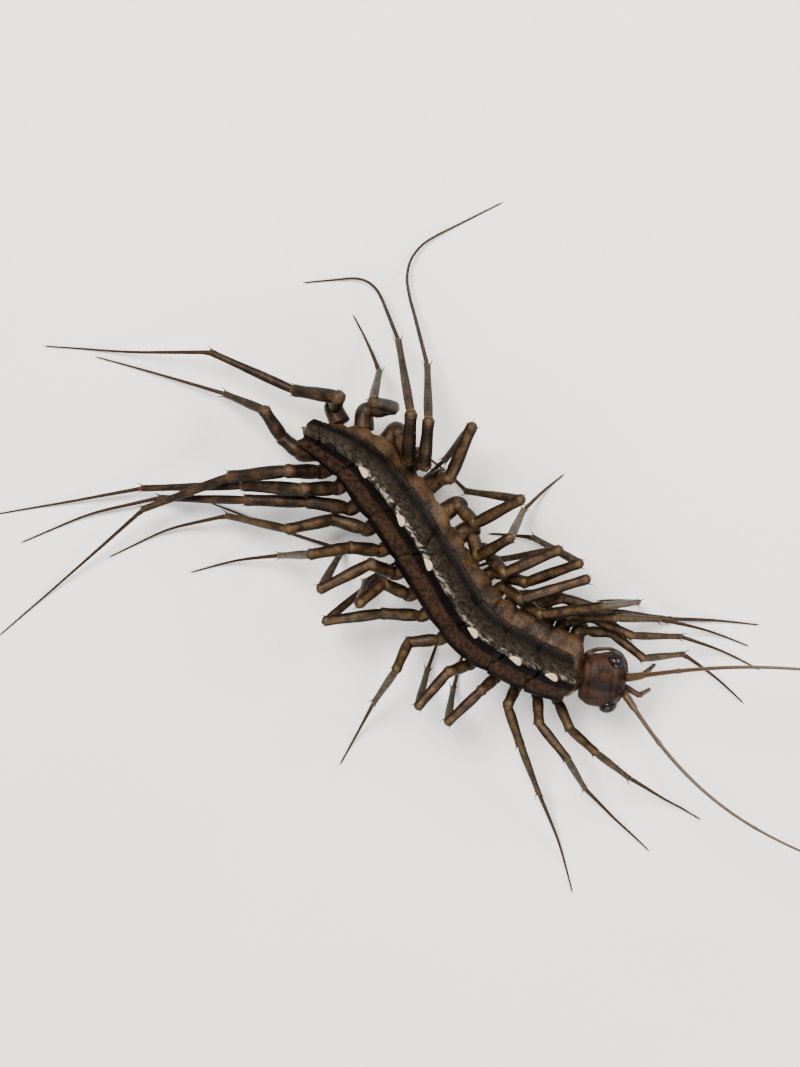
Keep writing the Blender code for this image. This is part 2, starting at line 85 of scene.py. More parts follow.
# Where the trunk starts to narrow at each end, over what length, and by what share of its width.
TAIL_TAPER_X = -7 * MM
TAIL_TAPER_LENGTH = 6 * MM
TAIL_TAPER = 0.56
NECK_TAPER_X = 8 * MM
NECK_TAPER_LENGTH = 4 * MM
NECK_TAPER = 0.16

# The skin: how far it reaches past the trunk, its lobes over the hips and the folds between.
SKIN_SHELF = 0.12 * MM
SHELF_TAIL_FADE = 2.5 * MM
SHELF_NECK_FADE = 1.5 * MM
LOBE = 0.24 * MM
LOBE_WIDTH = 0.75 * MM
LOBE_LEVEL = -0.3
LOBE_SPREAD = 0.42
FOLD = 0.08 * MM
FOLD_WIDTH = 0.22 * MM
STERNUM = 0.05 * MM
STERNUM_FOLD = 2.2
WRINKLE = 0.07 * MM
TRUNK_STEP = 0.1 * MM

# The skin's front: a bulge on the left, a collar, and the end that closes inside the head.
SKIN_INTO_HEAD = 0.7 * MM
SKIN_FRONT = 0.6 * MM
SKIN_FRONT_END = 1.2 * MM
COLLAR = 0.2 * MM
COLLAR_LENGTH = 2.4 * MM
NECK_CLOSING = 0.5
CLOSING_START = 0.05 * MM
CLOSING_LENGTH = 0.75 * MM

# The animal leans on its right side, so its left flank bulges out below the plates, less so
# towards the head, where the body bends to the left.
FLANK_REACH = 0.7 * MM
FLANK_TAPER = 3.0 * MM
FLANK_BEND_X = -1.5 * MM
FLANK_BEND_LENGTH = 4.5 * MM
FLANK_BEND_LOSS = 0.62
FLANK_TOP = 0.65
FLANK_DEPTH = 0.8

# The back plates, front to rear: the joints between them along the back.
PLATE_JOINTS_MM = (11.35, 8.95, 6.4, 3.0, -2.4, -5.8, -9.85, -12.6, -13.5)
PLATE_THICKNESS = 0.42 * MM
PLATE_SWEEP = radians(50)
PLATE_BULGE = 0.45 * MM
PLATE_BULGE_WIDTH = 0.55
PLATE_CORNER = 0.35 * MM
PLATE_FLARE = 0.05
PLATE_REAR_LIFT = 0.16 * MM
PLATE_COLUMNS = 72
PLATE_ROWS = 36
PLATE_TUCK = 0.1 * MM
PLATE_DIP = 0.14 * MM
PLATE_LIFT = 0.1 * MM
REAR_LAP = 0.3 * MM
RIDGE = 0.12 * MM
HOLLOW = 0.06 * MM
GRAIN = 0.012 * MM
RIM = 0.015 * MM
NOTCH = 0.1 * MM
LAST_NOTCH = 0.2 * MM
LAST_PLATE = 8

# How round the corners are at the front and the rear of the first, the last and the other plates.
FRONT_ROUNDING = 0.1
FIRST_FRONT_ROUNDING = 0.7
REAR_ROUNDING = 0.2
LAST_REAR_ROUNDING = 0.8

# How bright the painted highlight streaks are on each two plates, from the head to the tail.
PAINTED_HIGHLIGHT_STRENGTHS = (0.35, 0.6, 0.9, 0.0)

# The breathing slits: a raised drop with a slit along it, left of the middle line.
STOMA_HALF_LENGTH = 0.52 * MM
STOMA_HALF_WIDTH = 0.25 * MM
STOMA_HEIGHT = 0.17 * MM
STOMA_FROM_JOINT = 0.55 * MM
STOMA_TO_LEFT = 0.12 * MM
STOMA_TURN = -0.12
STOMA_WAIST = 0.16 * MM
STOMA_BEND = 0.12 * MM
SLIT_DEPTH = 0.03 * MM
SLIT_WIDTH = 0.05 * MM
STOMA_RINGS = 12
STOMA_SIDES = 40

# Where each pair of legs leaves the trunk, first pair to last. The last left ones sit further on.
HIP_X_MM = (10.9, 9.7, 8.4, 6.95, 5.3, 3.35, 1.7, 0.1, -1.6, -3.4, -5.3, -7.2, -9.2, -10.9, -12.5)
LEFT_HIP_SHIFT = 0.4 * MM
FIRST_SHIFTED_PAIR = 11
PAIRS = 15
HIP_DROP = 0.8 * MM
HIP_GAP = 0.13 * MM
LAST_HIP_GAP = 0.32 * MM
COXA_LENGTH = 0.9 * MM
COXA_SLOPE = 0.25
LAST_COXA_TURN = radians(55)
FIRST_TURNED_PAIR = 12.5

# The head and what it carries.
HEAD_LENGTH = 3.1 * MM
HEAD_WIDTH = 3.9 * MM
HEAD_HEIGHT = 2.6 * MM
HEAD_PITCH = radians(8)
HEAD_WIDEST = 0.45
HEAD_HIGHEST = 0.42
HEAD_REACH = 0.57
HEAD_FULLNESS = 2.6
HEAD_UNDERSIDE = 0.82
HEAD_RINGS = 60
HEAD_SIDES = 64
BROW = 0.1 * MM
SUTURE = 0.05 * MM
HEAD_COLLAR = 0.05 * MM
HEAD_GROOVE = 0.06 * MM
SNOUT = 0.08 * MM
HEAD_GRAIN = 0.02 * MM
EYE_RADIUS = 0.62 * MM
EYE_DOME = 1.3 * 0.4 * MM
EYE_SINK = 0.22 * MM
EYE_RINGS = 14
EYE_SIDES = 40
LENS_RADIUS = 0.048 * MM
LENSES = 150
ANTENNA_LENGTH = 26.0 * MM
ANTENNA_RADIUS = 0.19 * MM
ANTENNA_TIP_RADIUS = 0.05 * MM
ANTENNA_RINGS = 190
ANTENNA_STEPS = 12
ANTENNA_SIDES = 10
ANTENNA_SWELLS = (0.94, 1.06, 1.0)
ANTENNA_SETA = 0.13 * MM
ANTENNA_SETA_RADIUS = 0.007 * MM
ANTENNA_ROOT_DEPTH = 0.5 * MM
ANTENNA_SPLAY = 34
ANTENNA_TURN_IN = 26
ANTENNA_RISE = 38
ANTENNA_DROOP = 52
CLAW_RADIUS = 0.4 * MM
CLAW_BREADTH = 1.22
CLAW_RINGS = 36
CLAW_SIDES = 18
CLAW_SETA = 0.3 * MM
PALP_SETA = 0.28 * MM
PALP_RADIUS = 0.23 * MM

# Joints on the head as shares of its length, width and height, measured from its middle.
CLAW_SEAT = (-0.36, 0.24, -0.36)
CLAW_JOINTS = ((-0.3, 0.28, -0.62), (0.12, 0.42, -0.54), (0.42, 0.31, -0.52), (0.58, 0.08, -0.56))
PALP_JOINTS = ((0.59, 0.12, -0.14), (0.86, 0.2, -0.08), (1.15, 0.24, -0.75))
ANTENNA_ROOT = (0.57, 0.2, 0.24)
EYE_SEAT = (0.21, 0.465, 0.13)
EYE_FACING = (0.45, 0.85, 0.28)

# The lip plate and the two jaws: the place across in millimetres, the level as a share of the
# head's height and the radius in millimetres.
MOUTH_PIECES = ((0.0, -0.24, 0.42), (0.3, -0.4, 0.3), (-0.3, -0.4, 0.3))
MOUTH_RINGS = 16

# The legs. Each length and radius is a size in millimetres and what every pair adds to it, for the
# prefemur, femur and tibia. These swell by the shares below at their start and end.
SEGMENT_LENGTHS_MM = ((2.3, 0.08), (3.0, 0.13), (4.2, 0.28))
SEGMENT_RADII_MM = ((0.30, 0.009), (0.28, 0.009), (0.26, 0.004))
TARSUS_LENGTH_MM = (6.5, 0.55)
SEGMENT_SWELLS = ((1.22, 1.16), (1.18, 1.04), (1.08, 0.74))
LEG_SIDES = 15
TARSUS_RINGS = 36
TARSUS_START_RADIUS = 0.17 * MM
TARSUS_TIP_RADIUS = 0.055 * MM
TARSUS_STEPS = 12
TARSUS_SIDES = 9
TARSUS_SWELLS = (1.0, 1.05, 0.9)
CURL_START = 0.3
CURL_SPAN = 0.4
TOUCHDOWN = 0.8
SAG = 1.6
FOOT_CLAW_LENGTH = 0.22 * MM
FOOT_CLAW_RADII = (0.04 * MM, 0.008 * MM)
HIP_SPREAD = 1.15
FRONT_HIP_SPREAD = 1.36
LAST_SPREAD_PAIR = 4
COXA_RINGS = 24
COXA_DEPTH = 0.45
COXA_DOME = 0.18
FIRST_BANDED_PAIR = 12

# Spurs and setae.
SPUR_LENGTH = 0.5 * MM
SPUR_RADII = (0.06 * MM, 0.035 * MM, 0.006 * MM)
SPUR_SETBACK = 0.12 * MM
SPUR_SPREAD = 0.42
SPUR_BEND = 0.03 * MM
SPUR_MAP_PLACE = 3.6
SETA_RADIUS = 0.011 * MM
FINE_SETA_RADIUS = 0.008 * MM
LEG_SETA = 0.3 * MM
TARSUS_SETA = 0.16 * MM
SETAE_A_LEG = 130
SETAE_SHARES = (0.12, 0.22, 0.28, 0.38)
HEAD_SETAE = 90
HEAD_SETA = (0.12 * MM, 0.26 * MM)
BAKE_PATCH = 0.0015

# Each leg's pose: its size beside the usual one, then the sweep and lift in degrees of its
# prefemur, femur and tibia, then the sweep and curl of its tarsus and how much of the usual
# length it has. A sweep is 0 straight out to the side and grows towards the head.
RIGHT_POSE = {
    1: (0.95, 65, 10, 98, 41, 84, -39, 92, 8.0, 0.85),
    2: (0.95, 47, 39, 81, 10, 62, -46, 81, 6.0, 0.85),
    3: (0.93, 14, 63, 57, -14, 57, -28, 60, -5.0, 0.97),
    4: (0.90, -15, 62, -5, 2, -138, -72, -154, 0.0, 0.44),
    5: (0.87, -39, 52, 0, 13, -146, -69, -158, 0.0, 0.38),
    6: (0.82, -43, 2, 20, 59, 7, -43, 12, 0.0, 0.59),
    7: (1.02, -55, 20, -43, 13, 168, -48, 145, 0.0, 0.35),
    8: (0.87, -82, 39, -12, 63, -119, -82, -201, 0.0, 0.41),
    9: (0.93, -83, 50, -23, 15, -161, -71, -66, -4.0, 0.89),
    10: (0.80, -60, 31, -45, 46, -34, -58, -39, 6.0, 0.58),
    11: (0.80, -65, -3, -40, 35, -55, -33, -35, 12.0, 0.76),
    12: (0.99, -62, 26, -49, -9, -47, -24, -36, 10.0, 0.83),
    13: (1.06, -55, 53, -49, -27, -45, -19, -38, -1.0, 0.81),
    14: (0.90, -57, 47, -42, -15, -28, -14, -9, 0.0, 1.05),
    15: (0.52, -87, -10, -111, 26, -65, -39, -64, 0.0, 0.66),
}
LEFT_POSE = {
    1: (0.95, 50, 12, 84, 23, 55, -51, 89, 4.0, 0.80),
    2: (0.95, 30, 33, 72, 6, 59, -43, 73, 4.0, 0.80),
    3: (0.95, 37, 49, 49, 15, 63, -52, 67, 4.0, 0.80),
    4: (1.00, 27, 29, 68, -15, 64, -41, 51, 4.0, 0.74),
    5: (1.27, 69, 51, 37, 23, 67, -70, -134, 0.0, 0.30),
    6: (1.25, 60, 64, 31, 4, -162, -61, -134, 0.0, 0.30),
    7: (1.11, 58, 39, 26, 21, -116, -58, -129, 0.0, 0.30),
    8: (1.04, 85, 47, 24, 12, -149, -48, -152, 0.0, 0.30),
    9: (0.84, 119, 43, 15, 35, -17, -77, 6, 4.0, 0.31),
    10: (1.02, 80, 55, 18, 31, -133, -54, -95, 0.0, 0.30),
    11: (0.92, 31, 68, -17, 15, 179, -56, -172, 0.0, 0.30),
    12: (0.83, 89, 76, -32, 31, -51, -57, -57, 80.0, 1.14),
    13: (0.97, 108, 49, -32, 40, -59, -51, -66, -70.0, 0.68),
    14: (0.66, 38, 19, -102, 67, -46, -71, -69, 0.0, 0.30),
    15: (0.80, -4, 64, -126, -32, -108, -10, -132, 5, 0.84),
}

# The camera of the photograph: its distance from the level it looks at, its tilt from straight
# above, and the way over the floor that its picture's right runs.
CAMERA_DISTANCE = 170 * MM
CAMERA_LEVEL = 5 * MM
CAMERA_TILT = radians(10)
CAMERA_SIDEWAYS = (0.751, 0.660, 0.0)
CAMERA_LENS = 83.2

# A spot of the back, in the frame of the middle line before the origin is set, and how many pixels
# right of and above the photograph's middle it lies.
SPOT_MM = (0, 0, 6)
SPOT_PIXELS = (55, -26.5)
PIXELS_A_MM = 14.5

# The floor, the gloss of every coat and the light of the room.
FLOOR_HALF_SIZE = 1.5
COAT_ROUGHNESS = 0.12
ROOM_COLOR = (0.9, 0.92, 0.95, 1)
ROOM_STRENGTH = 0.38

# The lights: place and size in millimetres, power and colour.
LIGHTS = {
    "key": ((-160, 90, 300), 160, 3.2, (1.0, 0.97, 0.92)),
    "fill": ((220, -160, 240), 240, 1.6, (0.93, 0.96, 1.0)),
    "rim": ((60, 260, 160), 120, 1.2, (1.0, 0.98, 0.95)),
}


def grown(size_mm, pair):
    """A leg part's length or radius on that pair."""
    start, growth = size_mm
    return (start + growth * pair) * MM


def coxa_radius(pair, side):
    """The left coxae are stouter, save the first seven, which the bend crowds."""
    stout = 0.1 * smooth(pair, 7, 2) if side > 0 else 0.0
    return (0.40 + 0.008 * pair + stout) * MM


def smooth(t, start=0.0, span=1.0):
    """0 up to the start, 1 from a span past it, and a smooth rise between."""
    t = min(max((t - start) / span, 0.0), 1.0)
    return t * t * (3 - 2 * t)


def hump(t, middle=0.0, width=1.0):
    """A bell curve, 1 at its middle."""
    return exp(-(((t - middle) / width) ** 2))


def lerp(a, b, t):
    return a + (b - a) * t


def shares(count, first=0):
    """The shares from first / count up to 1, in even steps."""
    return [k / count for k in range(first, count + 1)]


def turns(count):
    """The angles of that many points, evenly spaced round a ring."""
    return [2 * pi * i / count for i in range(count)]


def middle_y(x):
    """The back's middle line at x, a smooth curve through the waypoints."""
    points = [(px * MM, py * MM) for px, py in MIDLINE_MM]
    first = 0
    while first < len(points) - 2 and x > points[first + 1][0]:
        first += 1
    (x1, y1), (x2, y2) = points[first], points[first + 1]
    x0, y0 = points[first - 1] if first else (2 * x1 - x2, 2 * y1 - y2)
    x3, y3 = points[first + 2] if first + 2 < len(points) else (2 * x2 - x1, 2 * y2 - y1)
    slope1 = (y2 - y0) / (x2 - x0)
    slope2 = (y3 - y1) / (x3 - x1)
    span = x2 - x1
    t = (x - x1) / span
    start = (2 * t**3 - 3 * t**2 + 1) * y1 + (t**3 - 2 * t**2 + t) * span * slope1
    end = (3 * t**2 - 2 * t**3) * y2 + (t**3 - t**2) * span * slope2
    return start + end


def heading(x):
    reach = 0.2 * MM
    return atan2(middle_y(x + reach) - middle_y(x - reach), 2 * reach)


def roll(x):
    return HEAD_ROLL * smooth(x, ROLL_START_X, NECK_X - ROLL_START_X)


def body_frame(x):
    """The trunk's cross-section at x: origin on its axis, X forward, Y to the left, Z up."""
    place = Matrix.Translation((x - ORIGIN_X, middle_y(x) - ORIGIN_Y, AXIS_Z))
    return place @ Matrix.Rotation(heading(x), 4, "Z") @ Matrix.Rotation(roll(x), 4, "X")


def girth(x):
    """How wide the trunk is at x beside its widest, narrower at both ends."""
    tail = TAIL_TAPER * max(0.0, (TAIL_TAPER_X - x) / TAIL_TAPER_LENGTH) ** 1.2
    front = NECK_TAPER * max(0.0, (x - NECK_TAPER_X) / NECK_TAPER_LENGTH) ** 1.5
    return 1 - tail - front


def flank(x):
    """How far the left flank reaches past the oval of the trunk."""
    behind = smooth(x, TAIL_X, FLANK_TAPER)
    bend = 1 - FLANK_BEND_LOSS * smooth(x, FLANK_BEND_X, FLANK_BEND_LENGTH)
    before = smooth((NECK_X + 0.5 * FLANK_TAPER - x) / FLANK_TAPER)
    return FLANK_REACH * behind * bend * before


def direction(side, sweep, lift):
    """A unit vector out from the body's side, swept towards the head and lifted."""
    plan = radians(90 - sweep) * side
    rise = radians(lift)
    return Vector((cos(rise) * cos(plan), cos(rise) * sin(plan), sin(rise)))


def hip_x(pair, side):
    x = HIP_X_MM[pair - 1] * MM
    if side > 0:
        x += LEFT_HIP_SHIFT * smooth(pair, FIRST_SHIFTED_PAIR, PAIRS - FIRST_SHIFTED_PAIR)
    return x


def coxa_points(pair, side):
    """Where a coxa meets the trunk and where it ends. The rearmost ones turn back."""
    x = hip_x(pair, side)
    frame = body_frame(x)
    back = max(0.0, (pair - FIRST_TURNED_PAIR) / (PAIRS - FIRST_TURNED_PAIR)) ** 1.3
    turn = LAST_COXA_TURN * back
    reach = TRUNK_HALF_WIDTH * girth(x) + HIP_GAP + LAST_HIP_GAP * back
    if side > 0:
        reach += flank(x)
    root = frame @ Vector((0, side * reach, -HIP_DROP))
    out = Vector((-sin(turn), side * cos(turn), -COXA_SLOPE)).normalized()
    return root, root + frame.to_3x3() @ out * COXA_LENGTH


def pose_of(pair, side):
    return (LEFT_POSE if side > 0 else RIGHT_POSE)[pair]


def leg_joints(pair, side):
    """The joints of a leg from its root to its ankle."""
    size, *angles = pose_of(pair, side)
    joints = list(coxa_points(pair, side))
    for sweep, lift, length in zip(angles[0:6:2], angles[1:6:2], SEGMENT_LENGTHS_MM):
        joints.append(joints[-1] + direction(side, sweep, lift) * grown(length, pair) * size)
    return joints


def tarsus_radius(t):
    return lerp(TARSUS_START_RADIUS, TARSUS_TIP_RADIUS, t**0.8)


def tarsus_path(pair, side, ankle, steps):
    """The whip-like tarsus, which sinks from the ankle and lies along the floor."""
    sweep, curl, part = pose_of(pair, side)[7:]
    stride = grown(TARSUS_LENGTH_MM, pair) * part / steps
    points = [ankle]
    for i in range(steps):
        bend = curl * smooth(((i + 0.5) / steps - CURL_START) / CURL_SPAN)
        spot = points[-1] + direction(side, sweep + bend, 0) * stride
        t = (i + 1) / steps
        floor = tarsus_radius(t)
        spot.z = floor + (ankle.z - floor) * max(0.0, 1 - t / TOUCHDOWN) ** SAG
        points.append(spot)
    return points


def head_frame():
    """The head's own frame, with its origin at the middle of the head."""
    x = NECK_X + GAP + 0.5 * HEAD_LENGTH
    return body_frame(x) @ Matrix.Rotation(HEAD_PITCH, 4, "Y")


def head_spot(side, shares):
    along, across, up = shares
    return head_frame() @ Vector((along * HEAD_LENGTH, side * across * HEAD_WIDTH, up * HEAD_HEIGHT))


def antenna_path(side, steps):
    """The feeler rises from the face, reaches forwards and droops towards its tip."""
    points = [head_spot(side, ANTENNA_ROOT)]
    for i in range(steps):
        t = (i + 0.5) / steps
        spread = ANTENNA_SPLAY - ANTENNA_TURN_IN * smooth(t / 0.7)
        yaw = degrees(heading(NECK_X)) + side * spread
        lift = ANTENNA_RISE - ANTENNA_DROOP * smooth(t / 0.8)
        points.append(points[-1] + direction(1, 90 - yaw, lift) * ANTENNA_LENGTH / steps)
    return points


def add_object(name, data):
    obj = bpy.data.objects.new(name, data)
    bpy.context.scene.collection.objects.link(obj)
    return obj


class Surface:
    """A mesh in the making, with a map that runs along and around each of its forms."""

    def __init__(self, name, uv_name="Lay"):
        self.name = name
        self.bm = bmesh.new()
        self.uv = self.bm.loops.layers.uv.new(uv_name)

    def face(self, verts, places, slot=0):
        face = self.bm.faces.new(verts)
        face.smooth = True
        face.material_index = slot
        for loop, place in zip(face.loops, places):
            loop[self.uv].uv = place

    def loft(self, rings, along):
        """Skins rings of equal count and closes both ends. along is each ring's place in the map."""
        count = len(rings[0])
        loops = [[self.bm.verts.new(point) for point in ring] for ring in rings]
        for ring, following, here, there in zip(loops, loops[1:], along, along[1:]):
            for i in range(count):
                j = (i + 1) % count
                low, high = i / count, (i + 1) / count
                places = ((here, low), (here, high), (there, high), (there, low))
                self.face((ring[i], ring[j], following[j], following[i]), places)
        for end in (0, -1):
            middle = self.bm.verts.new(sum((v.co for v in loops[end]), Vector()) / count)
            for i in range(count):
                places = ((along[end], i / count), (along[end], (i + 1) / count), (along[end], 0.5))
                self.face((loops[end][i], loops[end][(i + 1) % count], middle), places)

    def grid(self, rows, slot=0, wrap=True):
        """Skins rows of equal count, each row a list of (point, place in the map)."""
        verts = [[self.bm.verts.new(point) for point, _ in row] for row in rows]
        for k in range(len(rows) - 1):
            count = len(rows[k])
            for i in range(count if wrap else count - 1):
                j = (i + 1) % count
                corners = ((k, i), (k, j), (k + 1, j), (k + 1, i))
                self.face([verts[a][b] for a, b in corners], [rows[a][b][1] for a, b in corners], slot)

    def bristle(self, root, way, length, radius, place, bend=0.25):
        """A thin three-sided spine that leans towards the ground at its tip."""
        way = way.normalized()
        side = way.orthogonal().normalized()
        up = way.cross(side)
        middle = root + way * 0.55 * length
        tip = root + way * length - Vector((0, 0, bend * length))
        rings = []
        for spot, size in ((root - way * radius, radius), (middle, 0.7 * radius)):
            points = [spot + spoke((side, up), angle) * size for angle in turns(3)]
            rings.append([self.bm.verts.new(point) for point in points])
        end = self.bm.verts.new(tip)
        near = (place[0] - BAKE_PATCH, place[1] - BAKE_PATCH)
        far = (place[0] + BAKE_PATCH, place[1] - BAKE_PATCH)
        top = (place[0], place[1] + BAKE_PATCH)
        for i in range(3):
            j = (i + 1) % 3
            low, high = rings
            self.face((low[i], low[j], high[j], high[i]), (near, far, top, top))
            self.face((high[i], high[j], end), (near, far, top))

    def finish(self, materials, slot_name, nodes=()):
        """Makes the object, flat where it meets the floor. It rides on the body and may replace nodes."""
        for vert in self.bm.verts:
            vert.co.z = max(vert.co.z, 0.0)
        bmesh.ops.recalc_face_normals(self.bm, faces=self.bm.faces)
        mesh = bpy.data.meshes.new(self.name)
        self.bm.to_mesh(mesh)
        self.bm.free()
        obj = add_object(self.name, mesh)
        for material in materials:
            mesh.materials.append(material)
        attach(obj, "root")
        if nodes:
            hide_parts(*nodes)
        return obj


class Paint:
    """A material's nodes, added one at a time, around one shader."""

    def __init__(self, name, roughness, coat=0.0, gloss=0.3):
        self.material = bpy.data.materials.new(name)
        self.material.use_nodes = True
        self.tree = self.material.node_tree
        self.shader = self.tree.nodes["Principled BSDF"].inputs
        self.put(self.shader["Roughness"], roughness)
        self.put(self.shader["Specular IOR Level"], gloss)
        self.put(self.shader["Coat Weight"], coat)
        self.put(self.shader["Coat Roughness"], COAT_ROUGHNESS)
        self.object_place = self.add("TexCoord", {})["Object"]

    def put(self, socket, value):
        """Links a socket to another node's output, or sets it to a number or a hexadecimal colour."""
        if hasattr(value, "is_output"):
            self.tree.links.new(value, socket)
        else:
            socket.default_value = tint(value) if isinstance(value, str) else value

    def add(self, kind, inputs, **settings):
        """Adds a node with those settings and inputs, and gives its outputs."""
        node = self.tree.nodes.new("ShaderNode" + kind)
        for name, value in settings.items():
            setattr(node, name, value)
        for socket, value in inputs.items():
            self.put(node.inputs[socket], value)
        return node.outputs

    def math(self, operation, *values):
        return self.add("Math", dict(enumerate(values)), operation=operation)[0]

    def times(self, first, second):
        return self.math("MULTIPLY", first, second)

    def ramp(self, value, slope, start):
        """The value times the slope, plus the start."""
        return self.math("MULTIPLY_ADD", value, slope, start)

    def lay(self):
        """The map's two numbers: along and around, or across."""
        place = self.add("UVMap", {}, uv_map="Lay")[0]
        split = self.add("SeparateXYZ", {0: place})
        return split[0], split[1]

    def noise(self, size_mm, detail=3.0, stretch=(1, 1, 1)):
        """Noise with features of about that size, from 0 to 1."""
        place = self.add("Mapping", {"Vector": self.object_place, "Scale": stretch})[0]
        inputs = {"Vector": place, "Scale": 1 / (size_mm * MM), "Detail": detail}
        return self.add("TexNoise", inputs)["Fac"]

    def step(self, value, low, high):
        """0 below low, 1 above high, and smooth between."""
        inputs = {"Value": value, "From Min": low, "From Max": high}
        return self.add("MapRange", inputs, interpolation_type="SMOOTHSTEP")["Result"]

    def band(self, value, centre, half, soft):
        """1 within half of the centre, 0 outside."""
        away = self.math("ABSOLUTE", self.math("SUBTRACT", value, centre))
        return self.math("SUBTRACT", 1.0, self.step(away, half - soft, half + soft))

    def mix(self, factor, first, second):
        inputs = {"Factor": factor, "A": first, "B": second}
        return self.add("Mix", inputs, data_type="RGBA")["Result"]

    def bump(self, height, depth_mm, strength=1.0):
        inputs = {"Height": height, "Distance": depth_mm * MM, "Strength": strength}
        self.put(self.shader["Normal"], self.add("Bump", inputs)[0])

    def roughness(self, value):
        self.put(self.shader["Roughness"], value)

    def finish(self, color):
        """Sets the colour and gives the finished material."""
        self.put(self.shader["Base Color"], color)
        return self.material


def tint(code):
    """The linear colour of a hexadecimal screen colour."""
    parts = [int(code[i : i + 2], 16) / 255 for i in (0, 2, 4)]
    return (*[p / 12.92 if p <= 0.04045 else ((p + 0.055) / 1.055) ** 2.4 for p in parts], 1)


def plate_material(name, highlight_strength):
    """Dark brown with black stripes, and left of the middle one a painted sheen and painted highlight
    streaks, the light's reflection on the wet ridge.
    """
    paint = Paint(name, 0.5, gloss=0.04)
    _, across = paint.lay()
    wander = paint.noise(0.9, 3)
    mottle = paint.noise(0.3, 5)
    blotch = paint.noise(0.17, 4, (0.45, 1, 1))
    speck = paint.noise(0.11, 3)
    shifted = paint.math("ADD", across, paint.ramp(wander, 0.08, -0.04))
    right = paint.mix(paint.step(mottle, 0.3, 0.7), "160e09", "2d1f16")
    left = paint.mix(paint.step(mottle, 0.3, 0.7), "0d0906", "1f1811")
    result = paint.mix(paint.step(across, 0.45, 0.55), right, left)
    # A grey blotchy band left of the middle stripe: painted sheen, the light's reflection on the wet
    # ridge.
    painted_sheen_patch = paint.times(paint.band(shifted, 0.61, 0.1, 0.07), paint.step(blotch, 0.45, 0.62))
    result = paint.mix(paint.times(painted_sheen_patch, 0.3), result, "413b34")
    for centre, half, soft in ((0.05, 0.07, 0.035), (0.44, 0.075, 0.03), (0.88, 0.055, 0.035)):
        result = paint.mix(paint.band(shifted, centre, half, soft), result, "060403")
    # Pale streaks beside it, as bright as the plate's strength: painted highlights of the light on the
    # wet ridge.
    painted_highlight_streak = paint.times(paint.band(shifted, 0.56, 0.035, 0.03), paint.step(blotch, 0.42, 0.66))
    painted_highlight_streak = paint.times(painted_highlight_streak, paint.step(wander, 0.36, 0.56))
    painted_highlight_streak = paint.times(painted_highlight_streak, highlight_strength)
    result = paint.mix(painted_highlight_streak, result, "8f877c")
    paint.roughness(paint.ramp(painted_highlight_streak, -0.2, paint.ramp(mottle, 0.25, 0.33)))
    paint.bump(paint.math("ADD", paint.times(speck, 0.5), mottle), 0.03, 0.8)
    return paint.finish(result)


def stoma_material():
    paint = Paint("breathing slit", 0.4)
    along, _ = paint.lay()
    mottle = paint.noise(0.15, 3)
    pale = paint.mix(mottle, "866d54", "b9a287")
    paint.bump(mottle, 0.02)
    return paint.finish(paint.mix(paint.step(along, 0.8, 1.0), pale, "3d2c1f"))


def flank_material():
    """Wet brown skin between the plates and the legs, and pale under the body."""
    paint = Paint("brown flank", 0.4, gloss=0.1)
    along, around = paint.lay()
    broad = paint.noise(1.0, 4)
    fine = paint.noise(0.2, 5)
    skin = paint.mix(paint.step(broad, 0.35, 0.65), "1e140c", "3f2d1b")
    skin = paint.mix(paint.times(paint.step(fine, 0.5, 0.72), 0.6), skin, "110b06")
    belly = paint.band(around, 0.5, 0.17, 0.06)
    skin = paint.mix(belly, skin, paint.mix(fine, "45341f", "6b5236"))
    tail = paint.math("SUBTRACT", 1.0, paint.step(along, 0.02, 0.05))
    skin = paint.mix(tail, skin, paint.mix(fine, "1f160d", "43351f"))
    paint.roughness(paint.ramp(fine, 0.3, 0.25))
    paint.bump(paint.math("ADD", fine, paint.times(broad, 0.5)), 0.06, 0.9)
    return paint.finish(skin)


def leg_material(name, bands, deep, light):
    """Brown, with dark lines along both sides that are partly the leg's own dark keels and partly painted
    edge shade, paler at the joints. bands is the strength of its rings.
    """
    paint = Paint(name, 0.36, gloss=0.11)
    along, around = paint.lay()
    wander = paint.noise(0.6, 4)
    fine = paint.noise(0.13, 4)
    base = paint.mix(paint.step(wander, 0.3, 0.7), deep, light)
    base = paint.mix(paint.step(along, 3.9, 4.2), base, "2b1b0e")
    result = paint.mix(paint.times(paint.step(fine, 0.45, 0.7), 0.5), base, "1a1008")
    dark = "080402"
    # The dark lines down both sides are partly the legs' own dark keels and partly painted shade on the
    # edges turned away from above.
    for flank in (0.25, 0.75):
        line = paint.band(around, flank, 0.15, 0.06)
        result = paint.mix(paint.times(line, 0.9), result, dark)
    shifted = paint.math("ADD", along, paint.ramp(wander, 0.12, -0.06))
    for centre, half in ((1.75, 0.12), (2.25, 0.1), (2.7, 0.13), (3.2, 0.09), (3.62, 0.12)):
        ring = paint.band(shifted, centre, half, 0.05)
        result = paint.mix(paint.times(ring, bands), result, dark)
    whole = paint.math("FRACT", along)
    near = paint.math("SUBTRACT", 1.0, paint.step(whole, 0.01, 0.04))
    far = paint.step(whole, 0.96, 0.99)
    joint = paint.times(paint.math("MAXIMUM", near, far), paint.math("LESS_THAN", along, 4.03))
    result = paint.mix(paint.times(joint, 0.2), result, "54422a")
    paint.roughness(paint.ramp(fine, 0.3, 0.3))
    paint.bump(fine, 0.03, 0.9)
    return paint.finish(result)


